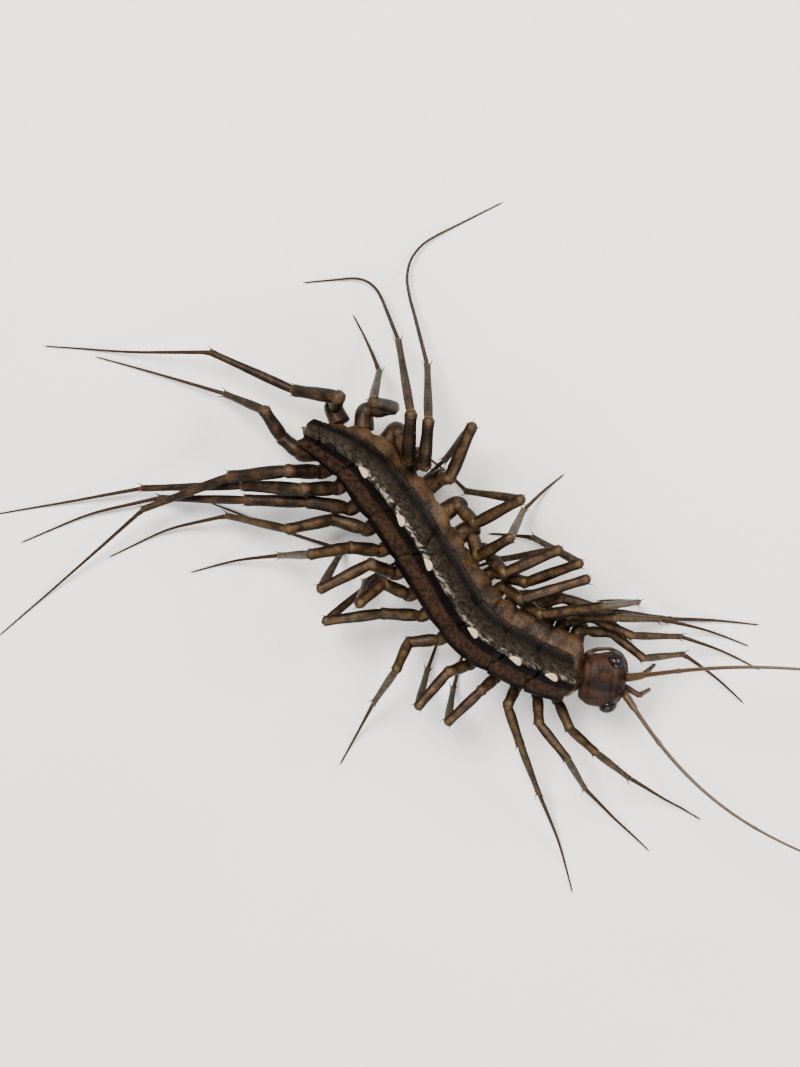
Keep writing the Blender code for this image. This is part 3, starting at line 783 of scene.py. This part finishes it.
def head_material():
    """Dark brown and glossy, with darker marbling and a dark middle."""
    paint = Paint("dark brown head", 0.3, gloss=0.1)
    along, around = paint.lay()
    marble = paint.noise(0.8, 5)
    fine = paint.noise(0.15, 4)
    result = paint.mix(paint.step(marble, 0.35, 0.65), "150c06", "2d1b10")
    result = paint.mix(paint.times(paint.step(fine, 0.5, 0.75), 0.6), result, "140906")
    stripe = paint.band(around, 0.25, 0.026, 0.014)
    result = paint.mix(paint.times(stripe, 0.8), result, "0a0503")
    brow = paint.step(along, 0.8, 0.95)
    result = paint.mix(brow, result, "120907")
    paint.roughness(paint.ramp(marble, 0.4, 0.3))
    paint.bump(fine, 0.035, 0.9)
    return paint.finish(result)


def claw_material():
    """Chestnut, and nearly black towards the tip."""
    paint = Paint("venom claw", 0.25, coat=0.1)
    along, _ = paint.lay()
    marble = paint.noise(0.4, 4)
    chestnut = paint.mix(marble, "1c1009", "341f13")
    paint.roughness(paint.ramp(marble, 0.2, 0.15))
    paint.bump(marble, 0.02)
    return paint.finish(paint.mix(paint.step(along, 0.55, 0.95), chestnut, "120805"))


def feeler_material():
    """Golden brown with a darker edge on every ring."""
    paint = Paint("ringed feeler", 0.42, coat=0.05)
    along, _ = paint.lay()
    fine = paint.noise(0.3, 3)
    gold = paint.mix(fine, "2a1d12", "47341f")
    ring = paint.step(paint.math("FRACT", paint.times(along, float(ANTENNA_RINGS))), 0.6, 0.95)
    paint.bump(fine, 0.01)
    return paint.finish(paint.mix(paint.times(ring, 0.7), gold, "3a2614"))


def eye_material():
    paint = Paint("cluster eye", 0.2, coat=0.15, gloss=0.25)
    hue = paint.noise(0.25, 2)
    paint.roughness(paint.ramp(hue, 0.15, 0.14))
    return paint.finish(paint.mix(hue, "040203", "170b09"))


def bristle_material():
    paint = Paint("amber bristle", 0.35)
    hue = paint.noise(0.6, 2)
    return paint.finish(paint.mix(hue, "2c1b0e", "6b4a26"))


def floor_material():
    paint = Paint("pale floor", 0.7)
    cloud = paint.noise(30, 4)
    grain = paint.noise(0.8, 2)
    paint.bump(grain, 0.01, 0.3)
    return paint.finish(paint.mix(cloud, "dcd7d0", "e6e2dc"))


def flank_point(x, angle, tail):
    """A point of the skin: a bulging left flank, lobes over the hips and folds between them."""
    side = sin(angle)
    hips = [hip_x(pair, side) for pair in range(1, PAIRS + 1)]
    nearest = min(hips, key=lambda hip: abs(hip - x))
    fold = sum(hump(x, 0.5 * (a + b), FOLD_WIDTH) for a, b in zip(hips, hips[1:]))
    up = cos(angle)
    below = hump(up, LOBE_LEVEL, LOBE_SPREAD)
    front = smooth(x, FLANK_BEND_X, FLANK_BEND_LENGTH)
    front *= smooth((NECK_X + SKIN_FRONT_END - x) / FLANK_TAPER)
    reach = flank(x) + SKIN_FRONT * front
    bulge = reach * sqrt(max(0.0, side)) * smooth((FLANK_TOP - up) / FLANK_DEPTH)
    inside = smooth(x, TAIL_X, SHELF_TAIL_FADE) * smooth((NECK_X + GAP - x) / SHELF_NECK_FADE)
    lobe = (SKIN_SHELF * inside + LOBE * hump(x, nearest, LOBE_WIDTH)) * below * abs(side)
    under = smooth((-up - 0.2) / 0.5)
    sternum = STERNUM * under * (1 - STERNUM_FOLD * fold)
    wrinkle = WRINKLE * abs(side) * noise.noise(Vector((x * 2600, angle * 3.1, 1.7)))
    collar = COLLAR * smooth(1 + (x - NECK_X) / COLLAR_LENGTH)
    swell = lobe - FOLD * fold * (abs(side) + 0.35 * under) + sternum + wrinkle + collar
    closing = tail * (1 - NECK_CLOSING * smooth((x - NECK_X + CLOSING_START) / CLOSING_LENGTH))
    width = ((TRUNK_HALF_WIDTH * girth(x) + swell) * side + bulge) * closing
    height = (TRUNK_HALF_HEIGHT + 0.25 * swell) * closing
    return body_frame(x) @ Vector((0, width, height * up))


def make_flank(material):
    """One skin over the four trunk lengths and the telson, from the neck to the tail."""
    surface = Surface("flank_skin")
    start = TAIL_X - TELSON_LENGTH
    length = NECK_X + SKIN_INTO_HEAD - start
    along = shares(round(length / TRUNK_STEP))
    rings = []
    for share in along:
        x = start + length * share
        back = (TAIL_X - x) / TELSON_LENGTH + TELSON_ROUNDING
        tail = sqrt(max(0.02, 1 - back**2)) if back > 0 else 1.0
        rings.append([flank_point(x, angle, tail) for angle in turns(TRUNK_SIDES)])
    surface.loft(rings, along)
    nodes = ("trunk_tail", "trunk_rear", "trunk_middle", "trunk_front", "telson")
    surface.finish([material], "flank", nodes)


def plate_joint(x, across):
    """A joint between plates bulges forwards in the middle of the back."""
    return x + PLATE_BULGE * max(0.0, 1 - (across / PLATE_BULGE_WIDTH) ** 2)


def plate_point(number, along, across, outer):
    """A point of a plate. along is 0 at its front edge and across is -1 at its right edge."""
    front = PLATE_JOINTS_MM[number - 1] * MM
    rear = PLATE_JOINTS_MM[number] * MM
    last = number == LAST_PLATE
    rounding = PLATE_CORNER * abs(across) ** (3 if last else 6)
    notch = -LAST_NOTCH * hump(across / 0.4) if last else NOTCH * hump(across / 0.17)
    front_share = FIRST_FRONT_ROUNDING if number == 1 else FRONT_ROUNDING
    rear_share = LAST_REAR_ROUNDING if last else REAR_ROUNDING
    start = plate_joint(front, across) - GAP / 2 - front_share * rounding
    if number > 1:
        start += PLATE_TUCK
    end = plate_joint(rear, across) + GAP / 2 + rear_share * rounding + notch - REAR_LAP
    x = start + (end - start) * along
    shape = 1 - 0.03 * smooth((0.2 - along) / 0.2) * abs(across) ** 3
    tuck = PLATE_DIP * (1 - smooth(along / 0.22)) if number > 1 else 0.0
    ridge = RIDGE * hump(across, 0.06, 0.1) * smooth(along / 0.2)
    hollow = HOLLOW * hump(abs(across), 0.45, 0.2)
    rim = RIM * (smooth(abs(across), 0.92, 0.06) + smooth(along, 0.95, 0.04))
    grain = GRAIN * noise.noise(Vector((x * 3000, across * 9, number)))
    relief = ridge - hollow + rim + grain - tuck if outer else -0.5 * tuck
    lift = PLATE_LIFT * along**2 + relief
    thin = 1 - 0.6 * smooth(abs(across), 0.8, 0.2)
    thin *= (0.55 + 0.45 * smooth(along / 0.1)) * (1 - 0.6 * smooth(along, 0.85, 0.15))
    depth = PLATE_THICKNESS * (1 if outer else 1 - thin)
    rise = TRUNK_HALF_HEIGHT + GAP + lift + depth
    width = TRUNK_HALF_WIDTH * girth(x) + GAP + 0.6 * relief + depth
    angle = PLATE_SWEEP * across * shape
    flat = 1 + PLATE_FLARE * sin(2 * angle) ** 2
    return body_frame(x) @ Vector((0, width * sin(angle) * flat, rise * cos(angle) * flat))


def make_plate(number, materials):
    """A back plate with its ridge, rims and notch, and the breathing slit set in the notch."""
    name = f"plate_{number}"
    surface = Surface(name)
    columns = [2 * share - 1 for share in shares(PLATE_COLUMNS)]
    rows = []
    for along in shares(PLATE_ROWS):
        row = []
        for outer, order in ((True, columns), (False, columns[::-1])):
            for across in order:
                row.append((plate_point(number, along, across, outer), (along, 0.5 * across + 0.5)))
        rows.append(row)
    surface.grid(rows)
    count = len(columns)
    for k in (0, PLATE_ROWS):
        surface.grid([rows[k][:count], rows[k][count:][::-1]], wrap=False)
    bmesh.ops.remove_doubles(surface.bm, verts=surface.bm.verts, dist=0.001 * MM)
    if number < LAST_PLATE:
        add_stoma(surface, number)
    surface.finish(materials, "plate", [f"tergite_{number}"])


def add_stoma(surface, number):
    """A raised saddle with a shallow slit along it, pale on all but the last plate that has one."""
    rear = PLATE_JOINTS_MM[number] * MM
    x = plate_joint(rear, 0.0) + GAP / 2 + STOMA_FROM_JOINT
    scale = 0.75 + 0.25 * girth(x)
    top = TRUNK_HALF_HEIGHT + GAP + PLATE_THICKNESS + PLATE_REAR_LIFT
    frame = body_frame(x) @ Matrix.Translation((0, STOMA_TO_LEFT, top))
    frame = frame @ Matrix.Rotation(STOMA_TURN, 4, "Z")
    rows = []
    for reach in shares(STOMA_RINGS):
        row = []
        for angle in turns(STOMA_SIDES):
            east = STOMA_HALF_LENGTH * scale * reach * cos(angle)
            north = STOMA_HALF_WIDTH * scale * reach * sin(angle)
            saddle = 1 - 0.25 * hump(east / STOMA_WAIST)
            rise = STOMA_HEIGHT * saddle * (sqrt(max(0.0, 1 - reach**3)) - 0.35)
            slit = SLIT_DEPTH * hump(north / SLIT_WIDTH) * smooth((0.7 - reach) / 0.3)
            share = east / STOMA_HALF_LENGTH
            spot = Vector((east, north * (1 + 0.4 * share) - STOMA_BEND * share**2, rise - slit))
            row.append((frame @ spot, (reach, 0.46)))
        rows.append(row)
    surface.grid(rows, slot=1 if number < LAST_PLATE - 1 else 0)


def side_word(side):
    return "left" if side > 0 else "right"


def side_frame(axis):
    """Two directions across an axis: to its top and to its side."""
    side = axis.cross(Vector((0, 0, 1)))
    if side.length < 0.05:
        side = axis.cross(Vector((1, 0, 0)))
    side.normalize()
    return side.cross(axis).normalized(), side


def spoke(frame, angle):
    """The direction that far round from the first of two directions towards the second."""
    first, second = frame
    return first * cos(angle) + second * sin(angle)


def tube_rings(points, radii, sides, ridges=0, depth=0.0):
    """Rings around a path, each starting at its top."""
    rings = []
    for k, (point, radius) in enumerate(zip(points, radii)):
        axis = (points[min(k + 1, len(points) - 1)] - points[max(k - 1, 0)]).normalized()
        ring = []
        for angle in turns(sides):
            reach = radius * (1 + depth * cos(ridges * angle))
            ring.append(point + spoke(side_frame(axis), angle) * reach)
        rings.append(ring)
    return rings


# The profile of a leg segment: places along it and its radius there beside the usual one.
PODOMERE = (
    *((-0.05, 0.5), (0.0, 0.8), (0.04, 0.88), (0.1, 0.96), (0.22, 1.04), (0.36, 1.06)),
    *((0.5, 1.03), (0.65, 0.98), (0.8, 0.96), (0.9, 1.0), (0.955, 1.06), (1.0, 1.03)),
)
# The dome that closes a segment: how far past its end, and how wide, beside its last radius.
DOME = ((0.28, 0.93), (0.52, 0.74), (0.7, 0.42))


def add_podomere(surface, start, end, radius_start, radius_end, index):
    """One segment of a leg, narrow at its root, ribbed, and domed at its end."""
    axis = (end - start).normalized()
    points = [start.lerp(end, t) for t, _ in PODOMERE]
    points += [end + axis * radius_end * past for past, _ in DOME]
    radii = [lerp(radius_start, radius_end, t) * scale for t, scale in PODOMERE]
    radii += [radius_end * scale for _, scale in DOME]
    along = [index + min(max(t, 0.001), 0.999) for t, _ in PODOMERE]
    along += [index + 0.999] * len(DOME)
    surface.loft(tube_rings(points, radii, LEG_SIDES, 5, 0.06), along)


def add_coxa(surface, joints, radius):
    """A chunky hip segment that bends from the flank into the leg, rounded at both ends."""
    path = resample(joints, COXA_RINGS)
    radii = []
    for t in shares(COXA_RINGS):
        end = sqrt(max(0.12, 1 - max(0.0, 1 - min(t, 1 - t) / COXA_DOME) ** 2))
        radii.append(radius * (1.1 - 0.25 * t) * end)
    along = [0.02 + 0.92 * t for t in shares(COXA_RINGS)]
    surface.loft(tube_rings(path, radii, LEG_SIDES, 3, 0.05), along)


def add_spurs(surface, start, end, radius, length, count):
    """Stout spines round the far end of a segment, pointing on along the leg."""
    axis = (end - start).normalized()
    for i in range(count):
        out = spoke(side_frame(axis), radians(70) + 2 * pi * i / count)
        root = end - axis * SPUR_SETBACK + out * radius * 0.85
        tip = root + (axis + out * SPUR_SPREAD) * length
        middle = root.lerp(tip, 0.5) + out * SPUR_BEND
        surface.loft(tube_rings([root, middle, tip], SPUR_RADII, 6), [SPUR_MAP_PLACE] * 3)


def add_bristles(hair, start, end, radius, count, longest, cell):
    """Fine setae scattered over a segment. cell is the segment's place in the bake map."""
    axis = (end - start).normalized()
    for _ in range(count):
        t = uniform(0.08, 0.97)
        angle = uniform(0, 2 * pi)
        out = spoke(side_frame(axis), angle)
        root = start.lerp(end, t) + out * radius * 0.93
        way = out * uniform(0.5, 1.0) + axis * uniform(0.5, 1.1)
        length = longest * uniform(0.45, 1.0)
        if root.z < length:
            length = max(0.04 * MM, 0.6 * root.z)
        place = (cell[0] + 0.14 * t, cell[1] + 0.028 * angle / (2 * pi))
        hair.bristle(root, way, length, SETA_RADIUS, place)


def resample(points, count):
    """A smooth path of that many points through the given ones, evenly spaced by index."""
    result = []
    last = len(points) - 1
    for k in range(count + 1):
        place = last * k / count
        i = min(int(place), last - 1)
        t = place - i
        p1, p2 = points[i], points[i + 1]
        p0 = points[i - 1] if i else p1 * 2 - p2
        p3 = points[i + 2] if i + 2 <= last else p2 * 2 - p1
        bend = (p0 * -1 + p1 * 3 - p2 * 3 + p3) * t**3
        result.append((p1 * 2 + (p2 - p0) * t + (p0 * 2 - p1 * 5 + p2 * 4 - p3) * t**2 + bend) * 0.5)
    return result


def make_leg(pair, side, materials, hair):
    """A leg: chunky coxa, three ribbed segments with spurs, and a many-ringed tarsus."""
    name = f"leg_{side_word(side)}_{pair}"
    surface = Surface(f"dressed_{name}")
    root, coxa_end, *joints = leg_joints(pair, side)
    inner = root + (root - coxa_end) * COXA_DEPTH
    crowded = side > 0 and pair <= LAST_SPREAD_PAIR
    coxa = coxa_radius(pair, side) * (FRONT_HIP_SPREAD if crowded else HIP_SPREAD)
    trochanter = coxa_end.lerp(joints[0], 0.3 if side > 0 else 0.12)
    parts = [(inner, coxa_end, coxa, coxa)]
    spans = zip([trochanter] + joints, joints, SEGMENT_RADII_MM, SEGMENT_SWELLS)
    for start, end, size, (first, last) in spans:
        parts.append((start, end, first * grown(size, pair), last * grown(size, pair)))
    row = 0.03 * (pair - 1) + (0.5 if side > 0 else 0.0) + 0.01
    for index, (start, end, first, last) in enumerate(parts):
        if index:
            add_podomere(surface, start, end, first, last, index)
            add_spurs(surface, start, end, last, SPUR_LENGTH * (0.6 + 0.2 * index), 3)
        else:
            add_coxa(surface, (inner, root, coxa_end, trochanter), coxa)
        cell = (0.02 + 0.18 * index, row)
        count = round(SETAE_A_LEG * SETAE_SHARES[index])
        add_bristles(hair, start, end, 0.5 * (first + last), count, LEG_SETA, cell)
    add_tarsus(surface, pair, side, joints[-1], row, hair)
    surface.finish(materials, "leg", [name])


def add_tarsus(surface, pair, side, ankle, row, hair):
    """A whip of many small rings with a claw at its tip and short setae along both sides."""
    path = resample(tarsus_path(pair, side, ankle, TARSUS_STEPS), 3 * TARSUS_RINGS)
    along = shares(3 * TARSUS_RINGS)
    radii = [tarsus_radius(t) * TARSUS_SWELLS[k % 3] for k, t in enumerate(along)]
    surface.loft(tube_rings(path, radii, TARSUS_SIDES), [4.02 + 0.96 * t for t in along])
    claw = path[-1] + (path[-1] - path[-4]).normalized() * FOOT_CLAW_LENGTH
    claw.z = max(0.02 * MM, path[-1].z - 0.03 * MM)
    surface.loft(tube_rings([path[-1], claw], FOOT_CLAW_RADII, 6), [SPUR_MAP_PLACE] * 2)
    for k in range(2, len(path) - 2, 3):
        axis = (path[k + 1] - path[k - 1]).normalized()
        top, lateral = side_frame(axis)
        for turn in (-1, 1):
            way = lateral * turn * 0.7 + axis + top * uniform(-0.1, 0.5)
            place = (0.76 + 0.2 * k / len(path), row + 0.01 + 0.01 * turn)
            root = path[k] + lateral * turn * radii[k] * 0.8
            hair.bristle(root, way, TARSUS_SETA, FINE_SETA_RADIUS, place, 0.0)


def head_profile(away):
    """How full the head is at a share of its length away from its fullest section."""
    return max(0.0, 1 - abs(away / HEAD_REACH) ** HEAD_FULLNESS) ** (1 / HEAD_FULLNESS)


def head_point(along, angle):
    """A point of the head, from 0 at the neck to 1 at the face. Angle 0 is the animal's left."""
    width = 0.5 * HEAD_WIDTH * head_profile(along - HEAD_WIDEST)
    height = 0.5 * HEAD_HEIGHT * head_profile(along - HEAD_HIGHEST)
    up = sin(angle)
    across = cos(angle)
    flat = HEAD_UNDERSIDE if up < 0 else 1.0
    brow = BROW * hump(along, 0.74, 0.1) * hump(abs(across), 0.45, 0.2) * (up > 0)
    suture = SUTURE * hump(across / 0.05) * (up > 0) * smooth((0.8 - along) / 0.1)
    collar = HEAD_COLLAR * hump(along, 0.1, 0.05)
    groove = HEAD_GROOVE * hump(along, 0.66, 0.03) * smooth(up, 0.2, 0.3)
    snout = SNOUT * hump(along, 0.92, 0.08) * hump(across / 0.4) * (up > 0)
    grain = HEAD_GRAIN * noise.noise(Vector((along * 11, across * 4, up * 4)))
    relief = brow - suture - collar - groove + snout + grain
    x = HEAD_LENGTH * (along - 0.5)
    spot = Vector((x, (width + relief) * across, (flat * height + relief) * up))
    return head_frame() @ spot


def make_head(material, hair):
    """The domed head, with short setae over its top and sides."""
    surface = Surface("head_capsule")
    along = [1 - (1 - share) ** 1.15 for share in shares(HEAD_RINGS)]
    surface.loft([[head_point(t, angle) for angle in turns(HEAD_SIDES)] for t in along], along)
    surface.finish([material], "head", ["head"])
    middle = head_frame().translation
    for _ in range(HEAD_SETAE):
        share = uniform(0.12, 0.9)
        angle = uniform(-0.2, 1.2) * pi
        root = head_point(share, angle)
        way = (root - middle).normalized() + head_frame().to_3x3() @ Vector((0.6, 0, 0))
        place = (0.7 + 0.1 * share, 0.1 + 0.02 * angle)
        hair.bristle(root, way, uniform(*HEAD_SETA), FINE_SETA_RADIUS, place, 0.0)


def make_eye(side, material):
    """A dark dome covered with small lenses."""
    word = side_word(side)
    forward, outward, up = EYE_FACING
    out = head_frame().to_3x3() @ Vector((forward, side * outward, up)).normalized()
    turn = out.to_track_quat("Z", "Y").to_matrix().to_4x4()
    frame = Matrix.Translation(head_spot(side, EYE_SEAT)) @ turn
    surface = Surface(f"lensed_eye_{word}")
    frame = frame @ Matrix.Translation((0, 0, -EYE_SINK))
    along = shares(EYE_RINGS, -3)
    rings = []
    for share in along:
        t = pi / 2 * share
        reach = EYE_RADIUS * 1.02 * cos(t)
        ring = []
        for angle in turns(EYE_SIDES):
            spot = Vector((reach * cos(angle), reach * sin(angle), EYE_DOME * sin(t)))
            ring.append(frame @ spot)
        rings.append(ring)
    surface.loft(rings, along)
    golden = pi * (3 - sqrt(5))
    for n in range(LENSES):
        rise = 0.12 + 0.88 * (n + 0.5) / LENSES
        reach = EYE_RADIUS * sqrt(1 - rise**2)
        spot = Vector((reach * cos(golden * n), reach * sin(golden * n), EYE_DOME * rise))
        normal = Vector((spot.x / EYE_RADIUS**2, spot.y / EYE_RADIUS**2, spot.z / EYE_DOME**2))
        lens = bmesh.ops.create_icosphere(surface.bm, subdivisions=2, radius=LENS_RADIUS)
        place = frame @ Matrix.Translation(spot + normal.normalized() * 0.01 * MM)
        bmesh.ops.transform(surface.bm, matrix=place, verts=lens["verts"])
    for face in surface.bm.faces:
        face.smooth = True
    surface.finish([material], "eye", [f"eye_{word}"])


def make_antenna(side, material, hair):
    """Two stout root segments and a long flagellum of small rings."""
    word = side_word(side)
    surface = Surface(f"ringed_antenna_{word}")
    path = resample(antenna_path(side, ANTENNA_STEPS), 3 * ANTENNA_RINGS)
    path[0] -= (path[1] - path[0]).normalized() * ANTENNA_ROOT_DEPTH
    along = shares(3 * ANTENNA_RINGS)
    radii = []
    for k, t in enumerate(along):
        swell = ANTENNA_SWELLS[k % 3]
        knee = 1 + 0.25 * hump(t, 0.16, 0.008) + 0.2 * hump(t, 0.5, 0.008)
        stout = 1 + 0.5 * smooth((0.05 - t) / 0.02)
        radii.append(lerp(ANTENNA_RADIUS, ANTENNA_TIP_RADIUS, t**0.7) * swell * knee * stout)
    surface.loft(tube_rings(path, radii, ANTENNA_SIDES), along)
    surface.finish([material], "leg", [f"antenna_{word}"])
    for k in range(4, len(path) - 3, 2):
        axis = (path[k + 1] - path[k - 1]).normalized()
        out = spoke(side_frame(axis), uniform(0, 2 * pi))
        root = path[k] + out * radii[k] * 0.9
        place = (0.02 + 0.9 * along[k], 0.97 + 0.02 * (side > 0))
        hair.bristle(root, out + axis * 0.9, ANTENNA_SETA, ANTENNA_SETA_RADIUS, place, 0.0)


def make_claw(side, material, hair):
    """A curved venom claw, stout at its root and drawn out to a black point."""
    word = side_word(side)
    surface = Surface(f"curved_forcipule_{word}")
    path = resample([head_spot(side, joint) for joint in (CLAW_SEAT, *CLAW_JOINTS)], CLAW_RINGS)
    radii = []
    for t in shares(CLAW_RINGS):
        knuckle = 1 + 0.12 * hump(t, 0.34, 0.05) + 0.1 * hump(t, 0.66, 0.04)
        tapered = CLAW_BREADTH * CLAW_RADIUS * knuckle * (1.0 - 0.93 * t**1.6)
        radii.append(tapered * (0.75 + 0.25 * smooth(t / 0.1)))
    surface.loft(tube_rings(path, radii, CLAW_SIDES), shares(CLAW_RINGS))
    surface.finish([material], "head", [f"forcipule_{word}"])
    cell = (0.02, 0.47 + 0.485 * (side > 0))
    add_bristles(hair, path[4], path[22], 0.85 * CLAW_RADIUS, 26, CLAW_SETA, cell)


def make_palp(side, material, hair):
    """A jointed palp that hangs before the mouth."""
    word = side_word(side)
    surface = Surface(f"jointed_palp_{word}")
    joints = [head_spot(side, joint) for joint in PALP_JOINTS]
    middle = joints[1].lerp(joints[2], 0.5)
    inner = joints[0] + (joints[0] - joints[1]) * 0.5
    spans = ((inner, joints[1], 1.0), (joints[1], middle, 0.9), (middle, joints[2], 0.7))
    for index, (start, end, scale) in enumerate(spans):
        add_podomere(surface, start, end, PALP_RADIUS * scale, PALP_RADIUS * scale * 0.85, index)
        cell = (0.2 + 0.15 * index, 0.47 + 0.485 * (side > 0))
        add_bristles(hair, start, end, PALP_RADIUS * scale, 22, PALP_SETA, cell)
    surface.finish([material], "leg", [f"palp_{word}"])


def make_mouth(material):
    """The lip plate over the mouth and the toothed jaws under it."""
    surface = Surface("mouthparts")
    frame = head_frame()
    for across, level, size in MOUTH_PIECES:
        points = []
        for t in (-0.2, 0.2, 0.6, 1.0):
            x = (0.4 + 0.13 * t) * HEAD_LENGTH
            y = across * MM * (1.3 - 0.7 * t)
            points.append(frame @ Vector((x, y, (level - 0.07 * t) * HEAD_HEIGHT)))
        path = resample(points, MOUTH_RINGS)
        along = shares(MOUTH_RINGS)
        radii = [size * MM * sqrt(max(0.03, 1 - (1.9 * t - 0.9) ** 2)) for t in along]
        surface.loft(tube_rings(path, radii, 16, 2, -0.25), [0.7 * t for t in along])
    surface.finish([material], "head")


def make_legs(hair_material):
    banded = leg_material("strongly banded leg", 0.6, "1a110a", "3b2a1a")
    plain = leg_material("faintly banded leg", 0.2, "22170d", "483621")
    for side in (1, -1):
        hair = Surface(f"setae_{side_word(side)}", "OFBake")
        for pair in range(1, PAIRS + 1):
            make_leg(pair, side, [banded if pair >= FIRST_BANDED_PAIR else plain], hair)
        hair.finish([hair_material], "leg")


def make_head_parts(hair_material):
    hair = Surface("setae_head", "OFBake")
    leg = leg_material("palp", 0.0, "22170d", "483621")
    feeler = feeler_material()
    claw = claw_material()
    eye = eye_material()
    capsule = head_material()
    make_head(capsule, hair)
    make_mouth(claw)
    for side in (1, -1):
        make_eye(side, eye)
        make_antenna(side, feeler, hair)
        make_claw(side, claw, hair)
        make_palp(side, leg, hair)
    hair.finish([hair_material], "head")


def make_floor():
    mesh = bpy.data.meshes.new("floor")
    bm = bmesh.new()
    bmesh.ops.create_grid(bm, x_segments=1, y_segments=1, size=FLOOR_HALF_SIZE)
    bm.to_mesh(mesh)
    bm.free()
    floor = add_object("floor", mesh)
    mesh.materials.append(floor_material())


def add_light(name, place_mm, size_mm, power, color):
    light = bpy.data.lights.new(name, "AREA")
    light.shape = "DISK"
    light.size = size_mm * MM
    light.energy = power
    light.color = color
    lamp = add_object(name, light)
    lamp.location = Vector(place_mm) * MM
    lamp.rotation_euler = (-lamp.location).to_track_quat("-Z", "Y").to_euler()


def make_lights():
    for name, light in LIGHTS.items():
        add_light(name, *light)
    world = bpy.data.worlds.new("soft room")
    world.use_nodes = True
    background = world.node_tree.nodes["Background"]
    background.inputs["Color"].default_value = ROOM_COLOR
    background.inputs["Strength"].default_value = ROOM_STRENGTH
    bpy.context.scene.world = world


def make_camera():
    """The photograph's view: from high up on the animal's left, the head at the lower right."""
    data = bpy.data.cameras.new("camera")
    data.lens = CAMERA_LENS
    data.clip_start = 10 * MM
    data.clip_end = 10
    camera = add_object("camera", data)
    back = Vector((0, sin(CAMERA_TILT), cos(CAMERA_TILT)))
    level = Vector(CAMERA_SIDEWAYS)
    right = (level - back * level.dot(back)).normalized()
    up = back.cross(right)
    across, above = [pixels * MM / PIXELS_A_MM / CAMERA_DISTANCE for pixels in SPOT_PIXELS]
    ray = back - right * across - up * above
    spot = Vector(SPOT_MM) * MM - Vector((ORIGIN_X, ORIGIN_Y, 0))
    place = spot + ray * (CAMERA_LEVEL + CAMERA_DISTANCE * back.z - spot.z) / ray.z
    rotation = Matrix((right, up, back)).transposed().to_4x4()
    camera.matrix_world = Matrix.Translation(place) @ rotation
    bpy.context.scene.camera = camera


def main():
    seed(7)
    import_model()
    make_camera()
    make_lights()
    make_floor()
    make_flank(flank_material())
    stoma = stoma_material()
    # Each two plates get their own strength of painted highlight.
    kinds = [plate_material(f"plate with_painted_highlights {highlight_strength}", highlight_strength) for highlight_strength in PAINTED_HIGHLIGHT_STRENGTHS]
    for number in range(1, LAST_PLATE + 1):
        make_plate(number, [kinds[(number - 1) // 2], stoma])
    hair_material = bristle_material()
    make_legs(hair_material)
    make_head_parts(hair_material)
    bpy.context.view_layer.update()


main()
